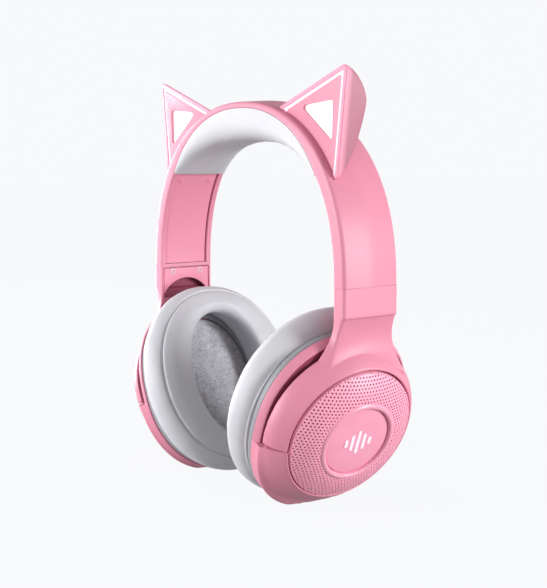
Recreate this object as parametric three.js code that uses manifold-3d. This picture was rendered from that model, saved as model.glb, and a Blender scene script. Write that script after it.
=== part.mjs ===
// A wireless gaming headset: a sprung headband with a pad and two lit cat ears, and a sliding yoke
// on each side that carries a tilting ear cup.
// Millimetres, +Z up, +X to the wearer's left, -Y to the front. The origin is on the surface that
// the cups stand on, below the middle of the headband.
// Most of it is drawn for the left side in two frames: the seam frame has its Z = 0 where the
// headband ends, and the cup frame has its Z along the cup's axis, outwards, and its Y up the cup.
import * as THREE from 'three';
import { mergeVertices } from 'three/addons/utils/BufferGeometryUtils.js';
import Module from 'manifold-3d';

const wasm = await Module();
wasm.setup();

// ---------------------------------------------------------------- driving sizes
const gap = 0.3; // left between pieces that touch
const pass = 400; // longer than anything that a cut has to pass through

const band = {
  halfWidth: 83, // middle to the outer surface, at the seam
  rise: 88, // seam to the top of the outer surface
  squareness: 2.2, // exponent of the arch's superellipse
  width: 33.6, // front to back
  depth: 7.6, // outer surface to the inner rims
  wall: 1.7,
  rim: 3.2,
  edge: 0.9, // bevel along the outer corners
  crownDepth: 3.4, // what is left of the rims at the top, above the pad
};
const panel = { thickness: 1.4, recess: 1.0, plugRadius: 2.1, plugInset: 5.5 };
const spring = { fromWire: 1.05, thickness: 0.8, endAbove: 40 };
const pad = { reach: 56, thickness: 15, endThickness: 1.4, baseThickness: 1.2 };
const wire = { diameter: 1.3, fromEdge: 5.6 };

const slide = {
  travel: 22,
  above: 33, // how far the plate reaches above the seam
  below: 9,
  lean: 7.2, // degrees
  plateWidth: 18,
  plateThickness: 0.8,
  outset: 2.8, // outer surface to the middle of the plate, at the seam
  notchPitch: 2.75,
  notchDepth: 1.0,
};

const ear = {
  tipIn: 3, // the tip from the headband's half width
  tipUp: 14.5, // the tip above the headband's top
  width: 53, // tip to inner corner, sideways
  fall: 19.2, // tip to inner corner, down
  length: 53, // tip to lower corner, down
  lean: 6.5, // tip to lower corner, sideways
  front: 13.2, // front face from the headband's middle
  thickness: 13,
  heavyIn: 1.5, // the thickest place, inwards and down from the tip
  heavyDown: 17,
  backBulge: 1.6, // exponents of the rounded back
  backEdge: 0.65,
  tipRadius: 3,
  rim: 2.1,
  pocket: 6, // depth of the hollow behind the panel
  pocketRadius: 1.2,
  wall: 1.2, // left between the hollow and the headband
  strip: 1.0, // of the diffuser that shows around the panel
  panelThickness: 1.3,
  diffuserThickness: 1.8,
  boardInset: 6, // its corners from the window's
  windowTop: [10.5, 16.5], // from the tip, inwards and down
  windowInner: [34.5, 18.5],
  windowLower: [11, 36],
};

const cup = {
  in: 4.4, // grille centre from the headband's inner rims
  front: 1.75, // grille centre in front of the headband's middle
  below: 37.85, // the grille's edge below the seam
  foot: 4.55, // the grille's edge above the surface, before the cup's tilt
  tilt: 21.4, // degrees, top out
  toe: 3.7, // degrees, facing forwards
};
const grille = { radius: 34.4, rise: 5.6, thickness: 1.2, seat: 1.6 };
const ring = { outer: 21.4, inner: 18.2, top: 6.95, height: 3.4, turn: 2.25 }; // turn of its facets, in degrees
const collar = { flare: 7.8, clear: 0.8, wall: 2.4, bottom: 12, halfAngle: 97, endGap: 1.0 };
const housing = {
  frontMargin: 9.1, // lip beyond the grille, front and back
  upMargin: 13.1, // lip beyond the grille, top and bottom
  lower: 1.5, // lip's centre below the grille's
  squareness: 2.25,
  slot: 2, // open gap between the yoke and the lip
  lip: 5,
  wall: 2.2,
};
const flange = { thickness: 3.4, inset: 0.6, openFront: 29, openUp: 37.5 };
const cushion = {
  thickness: 20.6,
  overhang: 4.6, // beyond the lip
  openFront: 24.3,
  openUp: 34.8,
  squareness: 2.1,
};
const cloth = { thickness: 1.2, inFromFlange: 1.0 };
const pivot = { below: 0.5, inward: 6, radius: 1.5, length: 8, boss: 3.0 };
const yoke = { straight: 14, scoop: 3.8, skin: 2.0, side: 2.4, top: 2.0, cover: 1.5, coverInset: 0.5 };
const screw = { spread: 9.2, below: 4.6, headRadius: 2.3, headHeight: 1.2, shankRadius: 1.1 };
const archCut = { radius: 15.5, apex: 9 }; // the arched lower edge of the yoke's cover
const driver = { radius: 20, height: 8, magnetRadius: 14, magnetHeight: 5 };
const baffle = { thickness: 0.9, inset: 0.2 };
const button = { radius: 3, angle: 122, proud: 0.9, level: 13.4, length: 4 };
const port = { width: 9, height: 3.4, angle: 148, level: 13, depth: 5, wall: 0.5 };
const microphone = { radius: 2, height: 1.5, angle: 168, level: 12, hole: 0.7 };
const board = { length: 40, width: 22, thickness: 1.6, level: 8 };
const battery = { length: 42, width: 28, thickness: 5, level: 8 };

// ---------------------------------------------------------------- materials
function finish(colour, roughness, metalness = 0) {
  return new THREE.MeshStandardMaterial({ color: colour, roughness, metalness });
}
const pinkShell = finish(0xf4b3c8, 0.38);
const pinkInner = finish(0xe4a0b5, 0.45);
const greyLeather = finish(0xc6c6ca, 0.55);
const greyPlastic = finish(0xaeafb4, 0.5);
const greyCloth = finish(0x8f8e95, 0.95);
const whiteLight = finish(0xfdfdff, 0.3);
const darkPlastic = finish(0x3c3a40, 0.6);
const steel = finish(0xb8b8bc, 0.35, 1);
const circuit = finish(0x2f5b46, 0.5);
const batteryWrap = finish(0x9aa0a8, 0.4);

// ---------------------------------------------------------------- helpers
const degrees = THREE.MathUtils.degToRad;

function solidOf(geometry) {
  const bare = geometry.clone();
  bare.deleteAttribute('normal');
  bare.deleteAttribute('uv');
  const merged = mergeVertices(bare);
  const vertProperties = new Float32Array(merged.attributes.position.array);
  const triVerts = new Uint32Array(merged.index.array);
  return new wasm.Manifold(new wasm.Mesh({ numProp: 3, vertProperties, triVerts }));
}

function geometryOf(solid) {
  const mesh = solid.getMesh();
  const geometry = new THREE.BufferGeometry();
  geometry.setAttribute('position', new THREE.BufferAttribute(mesh.vertProperties, 3));
  geometry.setIndex(new THREE.BufferAttribute(mesh.triVerts, 1));
  return geometry;
}

function cut(body, ...tools) {
  return geometryOf(tools.reduce((rest, tool) => rest.subtract(solidOf(tool)), solidOf(body)));
}

function join(body, ...others) {
  return geometryOf(others.reduce((all, other) => all.add(solidOf(other)), solidOf(body)));
}

function common(body, other) {
  return geometryOf(solidOf(body).intersect(solidOf(other)));
}

// Turns a closed skin the right way out.
function facingOut(geometry) {
  const p = geometry.attributes.position;
  const index = geometry.index.array;
  const corner = (i) => new THREE.Vector3().fromBufferAttribute(p, i);
  let volume = 0;
  for (let i = 0; i < index.length; i += 3) {
    volume += corner(index[i]).dot(corner(index[i + 1]).cross(corner(index[i + 2])));
  }
  if (volume < 0) geometry.index.array.reverse();
  return geometry;
}

function mirrored(geometry) {
  const copy = geometry.index ? geometry.clone() : mergeVertices(geometry.clone());
  copy.scale(-1, 1, 1);
  return facingOut(copy);
}

// A closed skin through rings of equally many points; `outline` is a ring's shape in two
// dimensions, which the two end faces are divided by.
function loft(rings, outline) {
  const count = outline.length;
  const index = [];
  for (let i = 0; i + 1 < rings.length; i += 1) {
    for (let j = 0; j < count; j += 1) {
      const a = i * count + j;
      const b = i * count + ((j + 1) % count);
      index.push(a, b, b + count, a, b + count, a + count);
    }
  }
  const last = (rings.length - 1) * count;
  for (const [a, b, c] of THREE.ShapeUtils.triangulateShape(outline, [])) {
    const turned = THREE.ShapeUtils.isClockWise(outline) ? [a, b, c] : [a, c, b];
    index.push(turned[0], turned[1], turned[2]);
    index.push(last + turned[0], last + turned[2], last + turned[1]);
  }
  const points = rings.flat().flatMap((point) => [point.x, point.y, point.z]);
  const geometry = new THREE.BufferGeometry();
  geometry.setAttribute('position', new THREE.Float32BufferAttribute(points, 3));
  geometry.setIndex(index);
  return facingOut(geometry);
}

// A solid turned about Z, from a profile of [radius, height] that closes on itself.
function turned(profile, segments) {
  const points = [...profile, profile[0]].map(([r, z]) => new THREE.Vector2(r, z));
  const geometry = new THREE.LatheGeometry(points, segments);
  geometry.rotateX(Math.PI / 2);
  return facingOut(mergeVertices(bareOf(geometry)));
}

function bareOf(geometry) {
  geometry.deleteAttribute('normal');
  geometry.deleteAttribute('uv');
  return geometry;
}

function rod(radius, from, to, segments = 12) {
  const geometry = new THREE.CylinderGeometry(radius, radius, to - from, segments);
  geometry.rotateX(Math.PI / 2);
  geometry.translate(0, 0, (from + to) / 2);
  return geometry;
}

function block(x, y, z) {
  const geometry = new THREE.BoxGeometry(x[1] - x[0], y[1] - y[0], z[1] - z[0]);
  geometry.translate((x[0] + x[1]) / 2, (y[0] + y[1]) / 2, (z[0] + z[1]) / 2);
  return geometry;
}

// A polygon with its corners rounded.
function rounded(points, radius, steps = 3) {
  const shape = new THREE.Shape();
  points.forEach((point, i) => {
    const before = points[(i + points.length - 1) % points.length];
    const after = points[(i + 1) % points.length];
    const start = point.clone().add(before.clone().sub(point).setLength(radius));
    const end = point.clone().add(after.clone().sub(point).setLength(radius));
    if (i === 0) shape.moveTo(start.x, start.y);
    else shape.lineTo(start.x, start.y);
    shape.quadraticCurveTo(point.x, point.y, end.x, end.y);
  });
  shape.closePath();
  return shape.getPoints(steps);
}

// An outline in the XZ plane, pushed along Y between two depths.
function slab(outline, from, to) {
  const ring = (y) => outline.map((point) => new THREE.Vector3(point.x, y, point.y));
  return loft([ring(from), ring(to)], outline);
}

// ---------------------------------------------------------------- headband sweep
class Arch extends THREE.Curve {
  getPoint(t, target = new THREE.Vector3()) {
    const c = Math.cos(Math.PI * t);
    const s = Math.sin(Math.PI * t);
    const power = 2 / band.squareness;
    const x = band.halfWidth * Math.sign(c) * Math.abs(c) ** power;
    return target.set(x, 0, band.rise * Math.abs(s) ** power);
  }
}
const arch = new Arch();
arch.arcLengthDivisions = 2000;
const archLength = arch.getLength();

// Where the arch is `height` above the seam on the left, as a share of its length.
function shareAtHeight(height) {
  let low = 0;
  let high = 0.5;
  for (let i = 0; i < 40; i += 1) {
    const middle = (low + high) / 2;
    if (arch.getPointAt(middle).z < height) low = middle;
    else high = middle;
  }
  return low;
}

// Carries a section, given as [y, depth below the outer surface], along part of the arch.
function alongBand(sectionAt, from, to, steps) {
  const rings = [];
  for (let i = 0; i <= steps; i += 1) {
    const share = THREE.MathUtils.lerp(from, to, i / steps);
    const at = arch.getPointAt(share);
    const along = arch.getTangentAt(share);
    const inward = new THREE.Vector3(-along.z, 0, along.x);
    rings.push(sectionAt(share).map(([y, depth]) => {
      const point = at.clone().addScaledVector(inward, depth);
      return point.setY(y);
    }));
  }
  const outline = sectionAt((from + to) / 2).map(([y, depth]) => new THREE.Vector2(y, depth));
  return loft(rings, outline);
}

function strip(y, depth, from, to, steps) {
  const section = [[y[0], depth[0]], [y[1], depth[0]], [y[1], depth[1]], [y[0], depth[1]]];
  return alongBand(() => section, from, to, steps);
}

const halfBand = band.width / 2;
const channelHalf = halfBand - band.rim;
const panelTop = band.depth - panel.recess - panel.thickness;
const padEnd = shareAtHeight(pad.reach);
const padGap = gap / archLength;

// 1 at the top of the headband and 0 at the pad's ends.
function crown(share) {
  const away = Math.abs(share - 0.5) / (0.5 - padEnd);
  return away >= 1 ? 0 : Math.cos((away * Math.PI) / 2) ** 0.8;
}

function rimDepth(share) {
  return THREE.MathUtils.lerp(band.depth, band.crownDepth, crown(share));
}

function outerShell() {
  const section = (share) => {
    const deep = rimDepth(share);
    const half = [
      [halfBand - band.edge * 2, 0],
      [halfBand - band.edge * 0.6, band.edge * 0.25],
      [halfBand - band.edge * 0.1, band.edge],
      [halfBand, band.edge * 2],
      [halfBand, deep - band.edge * 0.6],
      [halfBand - band.edge * 0.6, deep],
      [channelHalf, deep],
      [channelHalf, band.wall],
    ];
    return [...half, ...half.map(([y, d]) => [-y, d]).reverse()];
  };
  return alongBand(section, 0, 1, 36);
}

function padSolid() {
  const half = halfBand - gap;
  const inner = channelHalf - gap;
  const top = springTop + spring.thickness + gap + pad.baseThickness + gap;
  const section = (share) => {
    const shoulder = rimDepth(share) + gap;
    const thick = THREE.MathUtils.lerp(pad.endThickness, pad.thickness, crown(share));
    const bottom = shoulder + thick;
    const side = [
      [inner, top],
      [inner, shoulder],
      [half, shoulder],
      [half, bottom - thick * 0.45],
      [half - 1.6, bottom - thick * 0.14],
      [half - 6, bottom],
    ];
    return [...side, ...side.map(([y, d]) => [-y, d]).reverse()];
  };
  return alongBand(section, padEnd + padGap, 1 - padEnd - padGap, 20);
}

const springTop = band.wall + gap;
const springWidth = band.width - 2 * (wire.fromEdge + wire.diameter / 2 + spring.fromWire);
const springEnd = shareAtHeight(spring.endAbove);
const springBand = strip(
  [-springWidth / 2, springWidth / 2], [springTop, springTop + spring.thickness],
  springEnd, 1 - springEnd, 22,
);

const padBaseTop = springTop + spring.thickness + gap;
const padBase = strip(
  [-channelHalf + gap, channelHalf - gap], [padBaseTop, padBaseTop + pad.baseThickness],
  padEnd, 1 - padEnd, 16,
);

function linkWire() {
  const middle = halfBand - wire.fromEdge;
  const radius = wire.diameter / 2;
  const depth = springTop + radius;
  const corners = 5;
  const section = Array.from({ length: corners }, (_, i) => {
    const angle = (i * 2 * Math.PI) / corners;
    return [middle + (radius - gap / 3) * Math.cos(angle), depth - gap / 2 + radius * 0.6 * Math.sin(angle)];
  });
  return alongBand(() => section, springEnd, 1 - springEnd, 20);
}

// ---------------------------------------------------------------- side panel, slider
const seamShare = 0.0005;
const panelEnd = padEnd - padGap;
const plugShare = shareAtHeight(pad.reach - panel.plugInset);

function plugPlaces() {
  const at = arch.getPointAt(plugShare);
  const along = arch.getTangentAt(plugShare);
  const inward = new THREE.Vector3(-along.z, 0, along.x);
  const turn = new THREE.Quaternion().setFromUnitVectors(new THREE.Vector3(0, 0, 1), inward);
  const spread = channelHalf - panel.plugInset * 0.75;
  return [-spread, spread].map((y) => new THREE.Matrix4().compose(
    at.clone().addScaledVector(inward, band.depth - panel.recess).setY(y), turn,
    new THREE.Vector3(1, 1, 1),
  ));
}

function innerPanel() {
  const plate = strip(
    [-channelHalf + gap, channelHalf - gap], [panelTop, panelTop + panel.thickness],
    seamShare, panelEnd, 14,
  );
  const holes = plugPlaces().map((place) => (
    rod(panel.plugRadius + gap, -panel.thickness * 2, panel.thickness).applyMatrix4(place)
  ));
  return cut(plate, ...holes);
}

const plug = turned([[0, -1.2], [panel.plugRadius, -1.2], [panel.plugRadius, 0.1], [0, 0.5]], 12);

const plateHalf = slide.plateWidth / 2;
const plateX = band.halfWidth - slide.outset;
const slideDirection = new THREE.Vector3(
  Math.sin(degrees(slide.lean)), 0, -Math.cos(degrees(slide.lean)),
);

function sliderPlate() {
  const half = slide.plateThickness / 2;
  const topX = plateX - slide.above * Math.tan(degrees(slide.lean));
  const side = [
    [topX - half, slide.above], [topX + half, slide.above],
    [plateX + half, 0], [plateX + half, -slide.below],
    [plateX - half, -slide.below], [plateX - half, 0],
  ].map(([x, z]) => new THREE.Vector2(x, z));
  const plate = join(
    slab(side, -plateHalf, plateHalf),
    block([plateX - half, plateX + half], [-channelHalf + 1.4, channelHalf - 1.4], [-slide.below, -2.6]),
  );
  const notches = [];
  const notchCount = Math.floor(slide.travel / slide.notchPitch);
  for (let i = 1; i <= notchCount; i += 1) {
    const notch = new THREE.CylinderGeometry(slide.notchDepth, slide.notchDepth, pass, 6);
    notch.rotateZ(Math.PI / 2);
    notch.translate(0, plateHalf + slide.notchDepth * 0.3, 3 + i * slide.notchPitch);
    notches.push(notch);
  }
  const holes = screwPlaces.map((place) => rod(screw.shankRadius + gap, -pass, pass, 12).applyMatrix4(place));
  return cut(plate, ...notches, ...holes);
}

// Rails on both sides of the plate, joined by an end stop above it.
const trackTop = slide.above + 5;
const railDepth = [band.wall + gap, panelTop - gap];
const detentTop = 14;

function sliderTrack() {
  const inner = plateHalf + gap * 1.5;
  const outer = channelHalf - gap;
  const top = shareAtHeight(trackTop);
  return join(
    strip([-outer, -inner], railDepth, shareAtHeight(1), top, 8),
    strip([inner, outer], railDepth, shareAtHeight(detentTop + gap), top, 6),
    strip([-outer, outer], railDepth, shareAtHeight(slide.above + 2), top, 2),
  );
}

// A folded leaf that clicks into the plate's notches.
function detentSpring() {
  const inner = plateHalf + gap * 1.5;
  const outer = channelHalf - gap;
  const leg = 0.7;
  const [top, bottom] = [railDepth[0] + gap, railDepth[1] - gap];
  const at = (height) => shareAtHeight(height);
  return join(
    strip([outer - leg, outer], [top, bottom], at(2), at(detentTop), 4),
    strip([inner, inner + leg], [top, bottom], at(4), at(detentTop), 4),
    strip([inner, outer], [top, bottom], at(detentTop - 1), at(detentTop), 1),
  );
}

// ---------------------------------------------------------------- frames of the cup
const tilt = degrees(cup.tilt);
const toe = degrees(cup.toe);
const cupAxis = new THREE.Vector3(
  Math.cos(tilt) * Math.cos(toe), -Math.cos(tilt) * Math.sin(toe), -Math.sin(tilt),
);
const cupBack = new THREE.Vector3(Math.sin(toe), Math.cos(toe), 0);
const cupUp = cupAxis.clone().cross(cupBack);
const cupIn = band.depth + cup.in;
const cupDrop = grille.radius + cup.below;
const seamHeight = cupDrop + grille.radius + cup.foot; // of the headband's ends above the surface
const cupCentre = new THREE.Vector3(band.halfWidth - cupIn, -cup.front, -cupDrop);
const cupToSeam = new THREE.Matrix4().makeBasis(cupBack, cupUp, cupAxis).setPosition(cupCentre);
const seamToCup = cupToSeam.clone().invert();

const around = 32; // points around a cup
const aroundSmall = 24; // points around what is smaller or hidden
const lipLevel = -(collar.bottom + housing.slot);
const flangeLevel = lipLevel - housing.lip;
const cushionLevel = flangeLevel - gap - flange.thickness - gap;
const lipFront = grille.radius + housing.frontMargin;
const lipUp = grille.radius + housing.upMargin;
const shoulder = grille.radius + collar.flare;
const neckRadius = grille.radius + 0.2;
const collarInner = grille.radius + collar.clear;

// An oval in the cup frame: half sizes front to back and up, its centre's height and its squareness.
function oval(level, front, up, lower, squareness, count = around) {
  const power = 2 / squareness;
  return Array.from({ length: count }, (_, i) => {
    const angle = (i * 2 * Math.PI) / count;
    const [c, s] = [Math.cos(angle), Math.sin(angle)];
    return new THREE.Vector3(
      front * Math.sign(c) * Math.abs(c) ** power,
      up * Math.sign(s) * Math.abs(s) ** power - lower,
      level,
    );
  });
}

function ovalLoft(rings) {
  return loft(rings, rings[0].map((point) => new THREE.Vector2(point.x, point.y)));
}

// The part of the cup that the yoke goes round, as a slice of a disc.
function sector(halfAngle, from, to) {
  const start = Math.PI / 2 - degrees(halfAngle);
  const reach = shoulder * 2;
  const points = [new THREE.Vector2(0, 0)];
  const steps = 16;
  for (let i = 0; i <= steps; i += 1) {
    const angle = start + (2 * degrees(halfAngle) * i) / steps;
    points.push(new THREE.Vector2(reach * Math.cos(angle), reach * Math.sin(angle)));
  }
  const ringAt = (z) => points.map((point) => new THREE.Vector3(point.x, point.y, z));
  return loft([ringAt(from), ringAt(to)], points);
}

// ---------------------------------------------------------------- yoke
const flare = [[2.2, -0.9], [4.2, -3.2], [6.3, -6.3], [7.5, -9.5]]; // beyond the grille, and its level

function collarRing() {
  const r = grille.radius;
  const outside = [
    [collarInner, -0.9], [r + 1.3, -0.4], ...flare.map(([out, level]) => [r + out, level]),
    [shoulder, -collar.bottom],
  ];
  const inside = [
    [shoulder - collar.wall, -collar.bottom], [shoulder - collar.wall - 0.5, -9.4],
    [r + 3.8, -6.4], [r + 2.0, -4.4], [collarInner, -3.6],
  ];
  return turned([...outside, ...inside], around);
}

function pointOnCup(radius, level) {
  const point = new THREE.Vector3(0, radius, level).applyMatrix4(cupToSeam);
  return new THREE.Vector2(point.x, point.z);
}

// The arm's outer profile, from the seam down over the step and the scoop to the collar.
function armProfile(skin) {
  const low = pointOnCup(grille.radius + 3.2, -2);
  const straight = new THREE.Vector2(band.halfWidth - skin, -yoke.straight);
  const step = new THREE.Vector2(band.halfWidth - skin - 0.5, -yoke.straight - 0.8);
  const pull = new THREE.Vector2(
    band.halfWidth - skin - yoke.scoop * 1.8, (step.y + low.y) / 2,
  );
  const end = new THREE.Vector2(low.x - skin, low.y);
  const curve = new THREE.QuadraticBezierCurve(step, pull, end);
  return [straight, ...curve.getPoints(8)];
}

const armInner = band.halfWidth - band.depth;

const screwPlaces = [-screw.spread, screw.spread].map((y) => (
  new THREE.Matrix4().makeRotationY(Math.PI / 2).setPosition(armInner, y, -screw.below)
));

function armBlock() {
  const inside = pointOnCup(shoulder - 0.6, -collar.bottom + 0.2);
  const corner = new THREE.Vector2(armInner, inside.y + 0.8);
  const outline = [
    new THREE.Vector2(band.halfWidth, -gap), ...armProfile(0),
    pointOnCup(grille.radius + 2, -5), inside, corner, new THREE.Vector2(armInner, -gap),
  ];
  const body = slab(outline, -halfBand, halfBand);
  const bevels = [-1, 1].map((end) => {
    const tool = block([-band.edge, band.edge], [-band.edge, band.edge], [-pass, pass]);
    tool.rotateZ(Math.PI / 4);
    return tool.translate(band.halfWidth, end * halfBand, 0);
  });
  return cut(body, ...bevels);
}

function armPocket() {
  const profile = armProfile(yoke.skin);
  const floor = profile[profile.length - 1].y;
  const outline = [
    new THREE.Vector2(armInner - 10, -gap - yoke.top),
    new THREE.Vector2(band.halfWidth - yoke.skin, -gap - yoke.top),
    ...profile, new THREE.Vector2(armInner - 10, floor),
  ];
  return slab(outline, -halfBand + yoke.side, halfBand - yoke.side);
}

const pinPlaces = [-1, 1].map((end) => (
  new THREE.Matrix4().makeRotationY((end * Math.PI) / 2)
    .setPosition(end * (grille.radius - 0.4), -pivot.below, -pivot.inward)
));

function yokeShell() {
  const collarPiece = common(collarRing(), sector(collar.halfAngle, -pass, pass));
  const wing = join(collarPiece, ...pinPlaces.map((place) => (
    rod(pivot.boss, collar.clear + 0.6, 4.2, 16).applyMatrix4(place)
  )));
  const hollowArm = cut(armBlock(), armPocket());
  const bore = rod(collarInner, -pass, pass, around).applyMatrix4(cupToSeam);
  const arm = cut(hollowArm, bore);
  const body = join(arm, wing.applyMatrix4(cupToSeam));
  const plateSlot = block(
    [plateX - slide.plateThickness / 2 - gap, plateX + slide.plateThickness / 2 + gap],
    [-plateHalf - gap, plateHalf + gap], [-gap - yoke.top - 1, 1],
  );
  const pilots = screwPlaces.map((place) => (
    rod(screw.shankRadius + gap, 0, band.depth - 0.8, 12).applyMatrix4(place)
  ));
  const pinHoles = pinPlaces.map((place) => (
    rod(pivot.radius + gap, -5, pivot.length / 2 + gap, 16).applyMatrix4(place).applyMatrix4(cupToSeam)
  ));
  return cut(body, plateSlot, ...pilots, ...pinHoles);
}

function yokeCover() {
  const half = halfBand - yoke.side - gap;
  const [x0, x1] = [armInner + yoke.coverInset, armInner + yoke.coverInset + yoke.cover];
  const centre = -archCut.apex - archCut.radius;
  const plate = block([x0, x1], [-half, half], [centre, -gap - yoke.top - gap]);
  const arched = rod(archCut.radius, -pass, pass, aroundSmall);
  arched.rotateY(Math.PI / 2);
  arched.translate(0, 0, centre);
  const plateFace = plateX - slide.plateThickness / 2 - gap;
  const bosses = screwPlaces.map((place) => (
    rod(screw.headRadius, yoke.coverInset + 0.5, plateFace - armInner).applyMatrix4(place)
  ));
  const bores = screwPlaces.map((place) => rod(screw.shankRadius + gap, -1, pass, 12).applyMatrix4(place));
  const sinks = screwPlaces.map((place) => (
    rod(screw.headRadius + gap, -1, yoke.coverInset + screw.headHeight).applyMatrix4(place)
  ));
  return cut(join(plate, ...bosses), arched, ...bores, ...sinks);
}

const coverScrew = turned([
  [0, yoke.coverInset + 0.1], [screw.headRadius - 0.4, yoke.coverInset + 0.1],
  [screw.headRadius, yoke.coverInset + 0.4], [screw.headRadius, yoke.coverInset + screw.headHeight - gap],
  [screw.shankRadius, yoke.coverInset + screw.headHeight - gap],
  [screw.shankRadius, band.depth - 1.2], [0, band.depth - 1.2],
], 10);

const pin = rod(pivot.radius, -pivot.length / 2 + 0.5, pivot.length / 2);

// ---------------------------------------------------------------- ear cup
function radialPlace(angle, radius, level) {
  const direction = new THREE.Vector3(Math.sin(degrees(angle)), Math.cos(degrees(angle)), 0);
  const turn = new THREE.Matrix4().makeBasis(
    new THREE.Vector3(direction.y, -direction.x, 0), new THREE.Vector3(0, 0, -1), direction,
  );
  return turn.setPosition(direction.clone().multiplyScalar(radius).setZ(-level));
}

const chinMargin = 7; // degrees of wall between the yoke's ends and the hollow below them
const buttonPlace = radialPlace(button.angle, shoulder + 0.6, button.level);
const portPlace = radialPlace(port.angle, shoulder + 2.4, port.level);
const micPlace = radialPlace(microphone.angle, shoulder + 0.6, microphone.level);

function floorTool() {
  return block([-pass, pass], [-pass, pass], [-pass, -seamHeight]).applyMatrix4(seamToCup);
}

// The cup's flare is round where it meets the grille and takes the lip's oval as it widens.
function flareOval([out, level], inset = 0) {
  const share = level / -collar.bottom;
  const radius = grille.radius + out - inset;
  return oval(level, radius, radius + 1.5 * share ** 2, housing.lower * share ** 2, 2 + 0.15 * share);
}

function housingShell(side) {
  const r = grille.radius;
  const outside = ovalLoft([
    oval(flangeLevel, lipFront - 0.5, lipUp - 0.5, housing.lower, housing.squareness),
    oval(flangeLevel + 0.8, lipFront, lipUp, housing.lower, housing.squareness),
    oval(lipLevel, lipFront, lipUp, housing.lower, housing.squareness),
    oval(-collar.bottom, lipFront - 0.5, lipUp - 1.8, housing.lower, housing.squareness),
    ...[...flare].reverse().map((point) => flareOval(point)),
    oval(0, r + 1, r + 1, 0, 2),
  ]);
  const hollow = [lipFront - housing.wall, lipUp - housing.wall, housing.lower, housing.squareness];
  const cavity = ovalLoft([
    oval(flangeLevel - 1, ...hollow),
    oval(lipLevel - housing.wall, ...hollow),
    oval(lipLevel - housing.wall + 0.01, neckRadius - housing.wall, neckRadius - housing.wall, 0, 2),
    oval(1, neckRadius - housing.wall, neckRadius - housing.wall, 0, 2),
  ]);
  const chin = cut(ovalLoft([
    oval(flangeLevel - 1, ...hollow),
    oval(lipLevel, ...hollow),
    flareOval(flare[3], housing.wall),
    flareOval(flare[2], housing.wall * 1.6),
  ]), sector(collar.halfAngle + chinMargin, -pass, pass));
  const seat = rod(grille.radius + 0.1, -grille.seat, 2, around);
  const endAngle = collar.halfAngle + THREE.MathUtils.radToDeg(collar.endGap / shoulder);
  const yokeRoom = cut(sector(endAngle, lipLevel, pass), rod(neckRadius, -pass, pass + 1, around));
  const pinHoles = pinPlaces.map((place) => rod(pivot.radius + gap, -5, 2, 16).applyMatrix4(place));
  const tools = [cavity, chin, seat, yokeRoom, ...pinHoles, floorTool()];
  if (side > 0) tools.push(...controlPockets());
  return cut(outside, ...tools);
}

function controlPockets() {
  const buttonRoom = rod(button.radius + gap, -button.length - 2, 20, 16).applyMatrix4(buttonPlace);
  const portRoom = block(
    [-port.width / 2 - gap, port.width / 2 + gap], [-port.height / 2 - gap, port.height / 2 + gap],
    [-port.depth - 4, 20],
  ).applyMatrix4(portPlace);
  const hole = rod(microphone.hole, -10, 20, 10).applyMatrix4(micPlace);
  return [buttonRoom, portRoom, hole];
}

function grilleDome() {
  const inner = ring.outer - 0.6;
  const outer = grille.radius - 0.2;
  const steps = 3;
  const top = [];
  for (let i = 0; i <= steps; i += 1) {
    const share = i / steps;
    const height = grille.rise * (1 - share ** 1.5);
    top.push([THREE.MathUtils.lerp(inner, outer, share), height]);
  }
  const under = top.map(([r, z]) => [r, z - grille.thickness]).reverse();
  return turned([...top, ...under], aroundSmall);
}

const ringBase = ring.top - ring.height;
const discRadius = ring.inner - gap;
const seatLip = 3;

function badgeRing() {
  const whole = turned([
    [ring.outer - 0.9, ringBase - seatLip], [ring.inner, ringBase - seatLip],
    [ring.inner, ring.top - 0.9], [ring.inner + 0.7, ring.top - 0.1], [ring.inner + 1.9, ring.top],
    [ring.outer - 0.6, ring.top - 0.9], [ring.outer, ring.top - 1.9],
    [ring.outer, grille.rise + gap], [ring.outer - 0.9, grille.rise + gap],
  ], around);
  return whole.rotateZ(degrees(ring.turn));
}

const badgeDisc = turned([
  [0, ringBase], [discRadius, ringBase], [discRadius, ring.top - 1.6],
  [0, ring.top - 0.8],
], aroundSmall);

const driverLevel = flangeLevel + 1.2;

function baffleDisc() {
  const [front, up] = [lipFront - housing.wall - gap, lipUp - housing.wall - gap];
  const plate = ovalLoft([0, baffle.thickness].map((rise) => (
    oval(flangeLevel + baffle.inset + rise, front, up, housing.lower, housing.squareness, aroundSmall)
  )));
  return cut(plate, rod(driver.radius + gap, -pass, pass, aroundSmall));
}

const driverUnit = turned([
  [0, driverLevel - 1.2], [driver.radius, driverLevel - 1.2], [driver.radius, driverLevel + 2],
  [driver.magnetRadius, driverLevel + driver.height - driver.magnetHeight],
  [driver.magnetRadius, driverLevel + driver.height], [0, driverLevel + driver.height],
], 24);

// ---------------------------------------------------------------- ear cushion
function flangeRing() {
  const top = flangeLevel - gap;
  const [front, up] = [lipFront - flange.inset, lipUp - flange.inset];
  const plate = ovalLoft([
    oval(top, front, up, housing.lower, housing.squareness, aroundSmall),
    oval(top - flange.thickness, front, up, housing.lower, housing.squareness, aroundSmall),
  ]);
  const hole = [flange.openFront, flange.openUp, housing.lower, cushion.squareness, aroundSmall];
  const opening = ovalLoft([oval(top + 1, ...hole), oval(top - flange.thickness - 1, ...hole)]);
  return cut(plate, opening);
}

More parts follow.
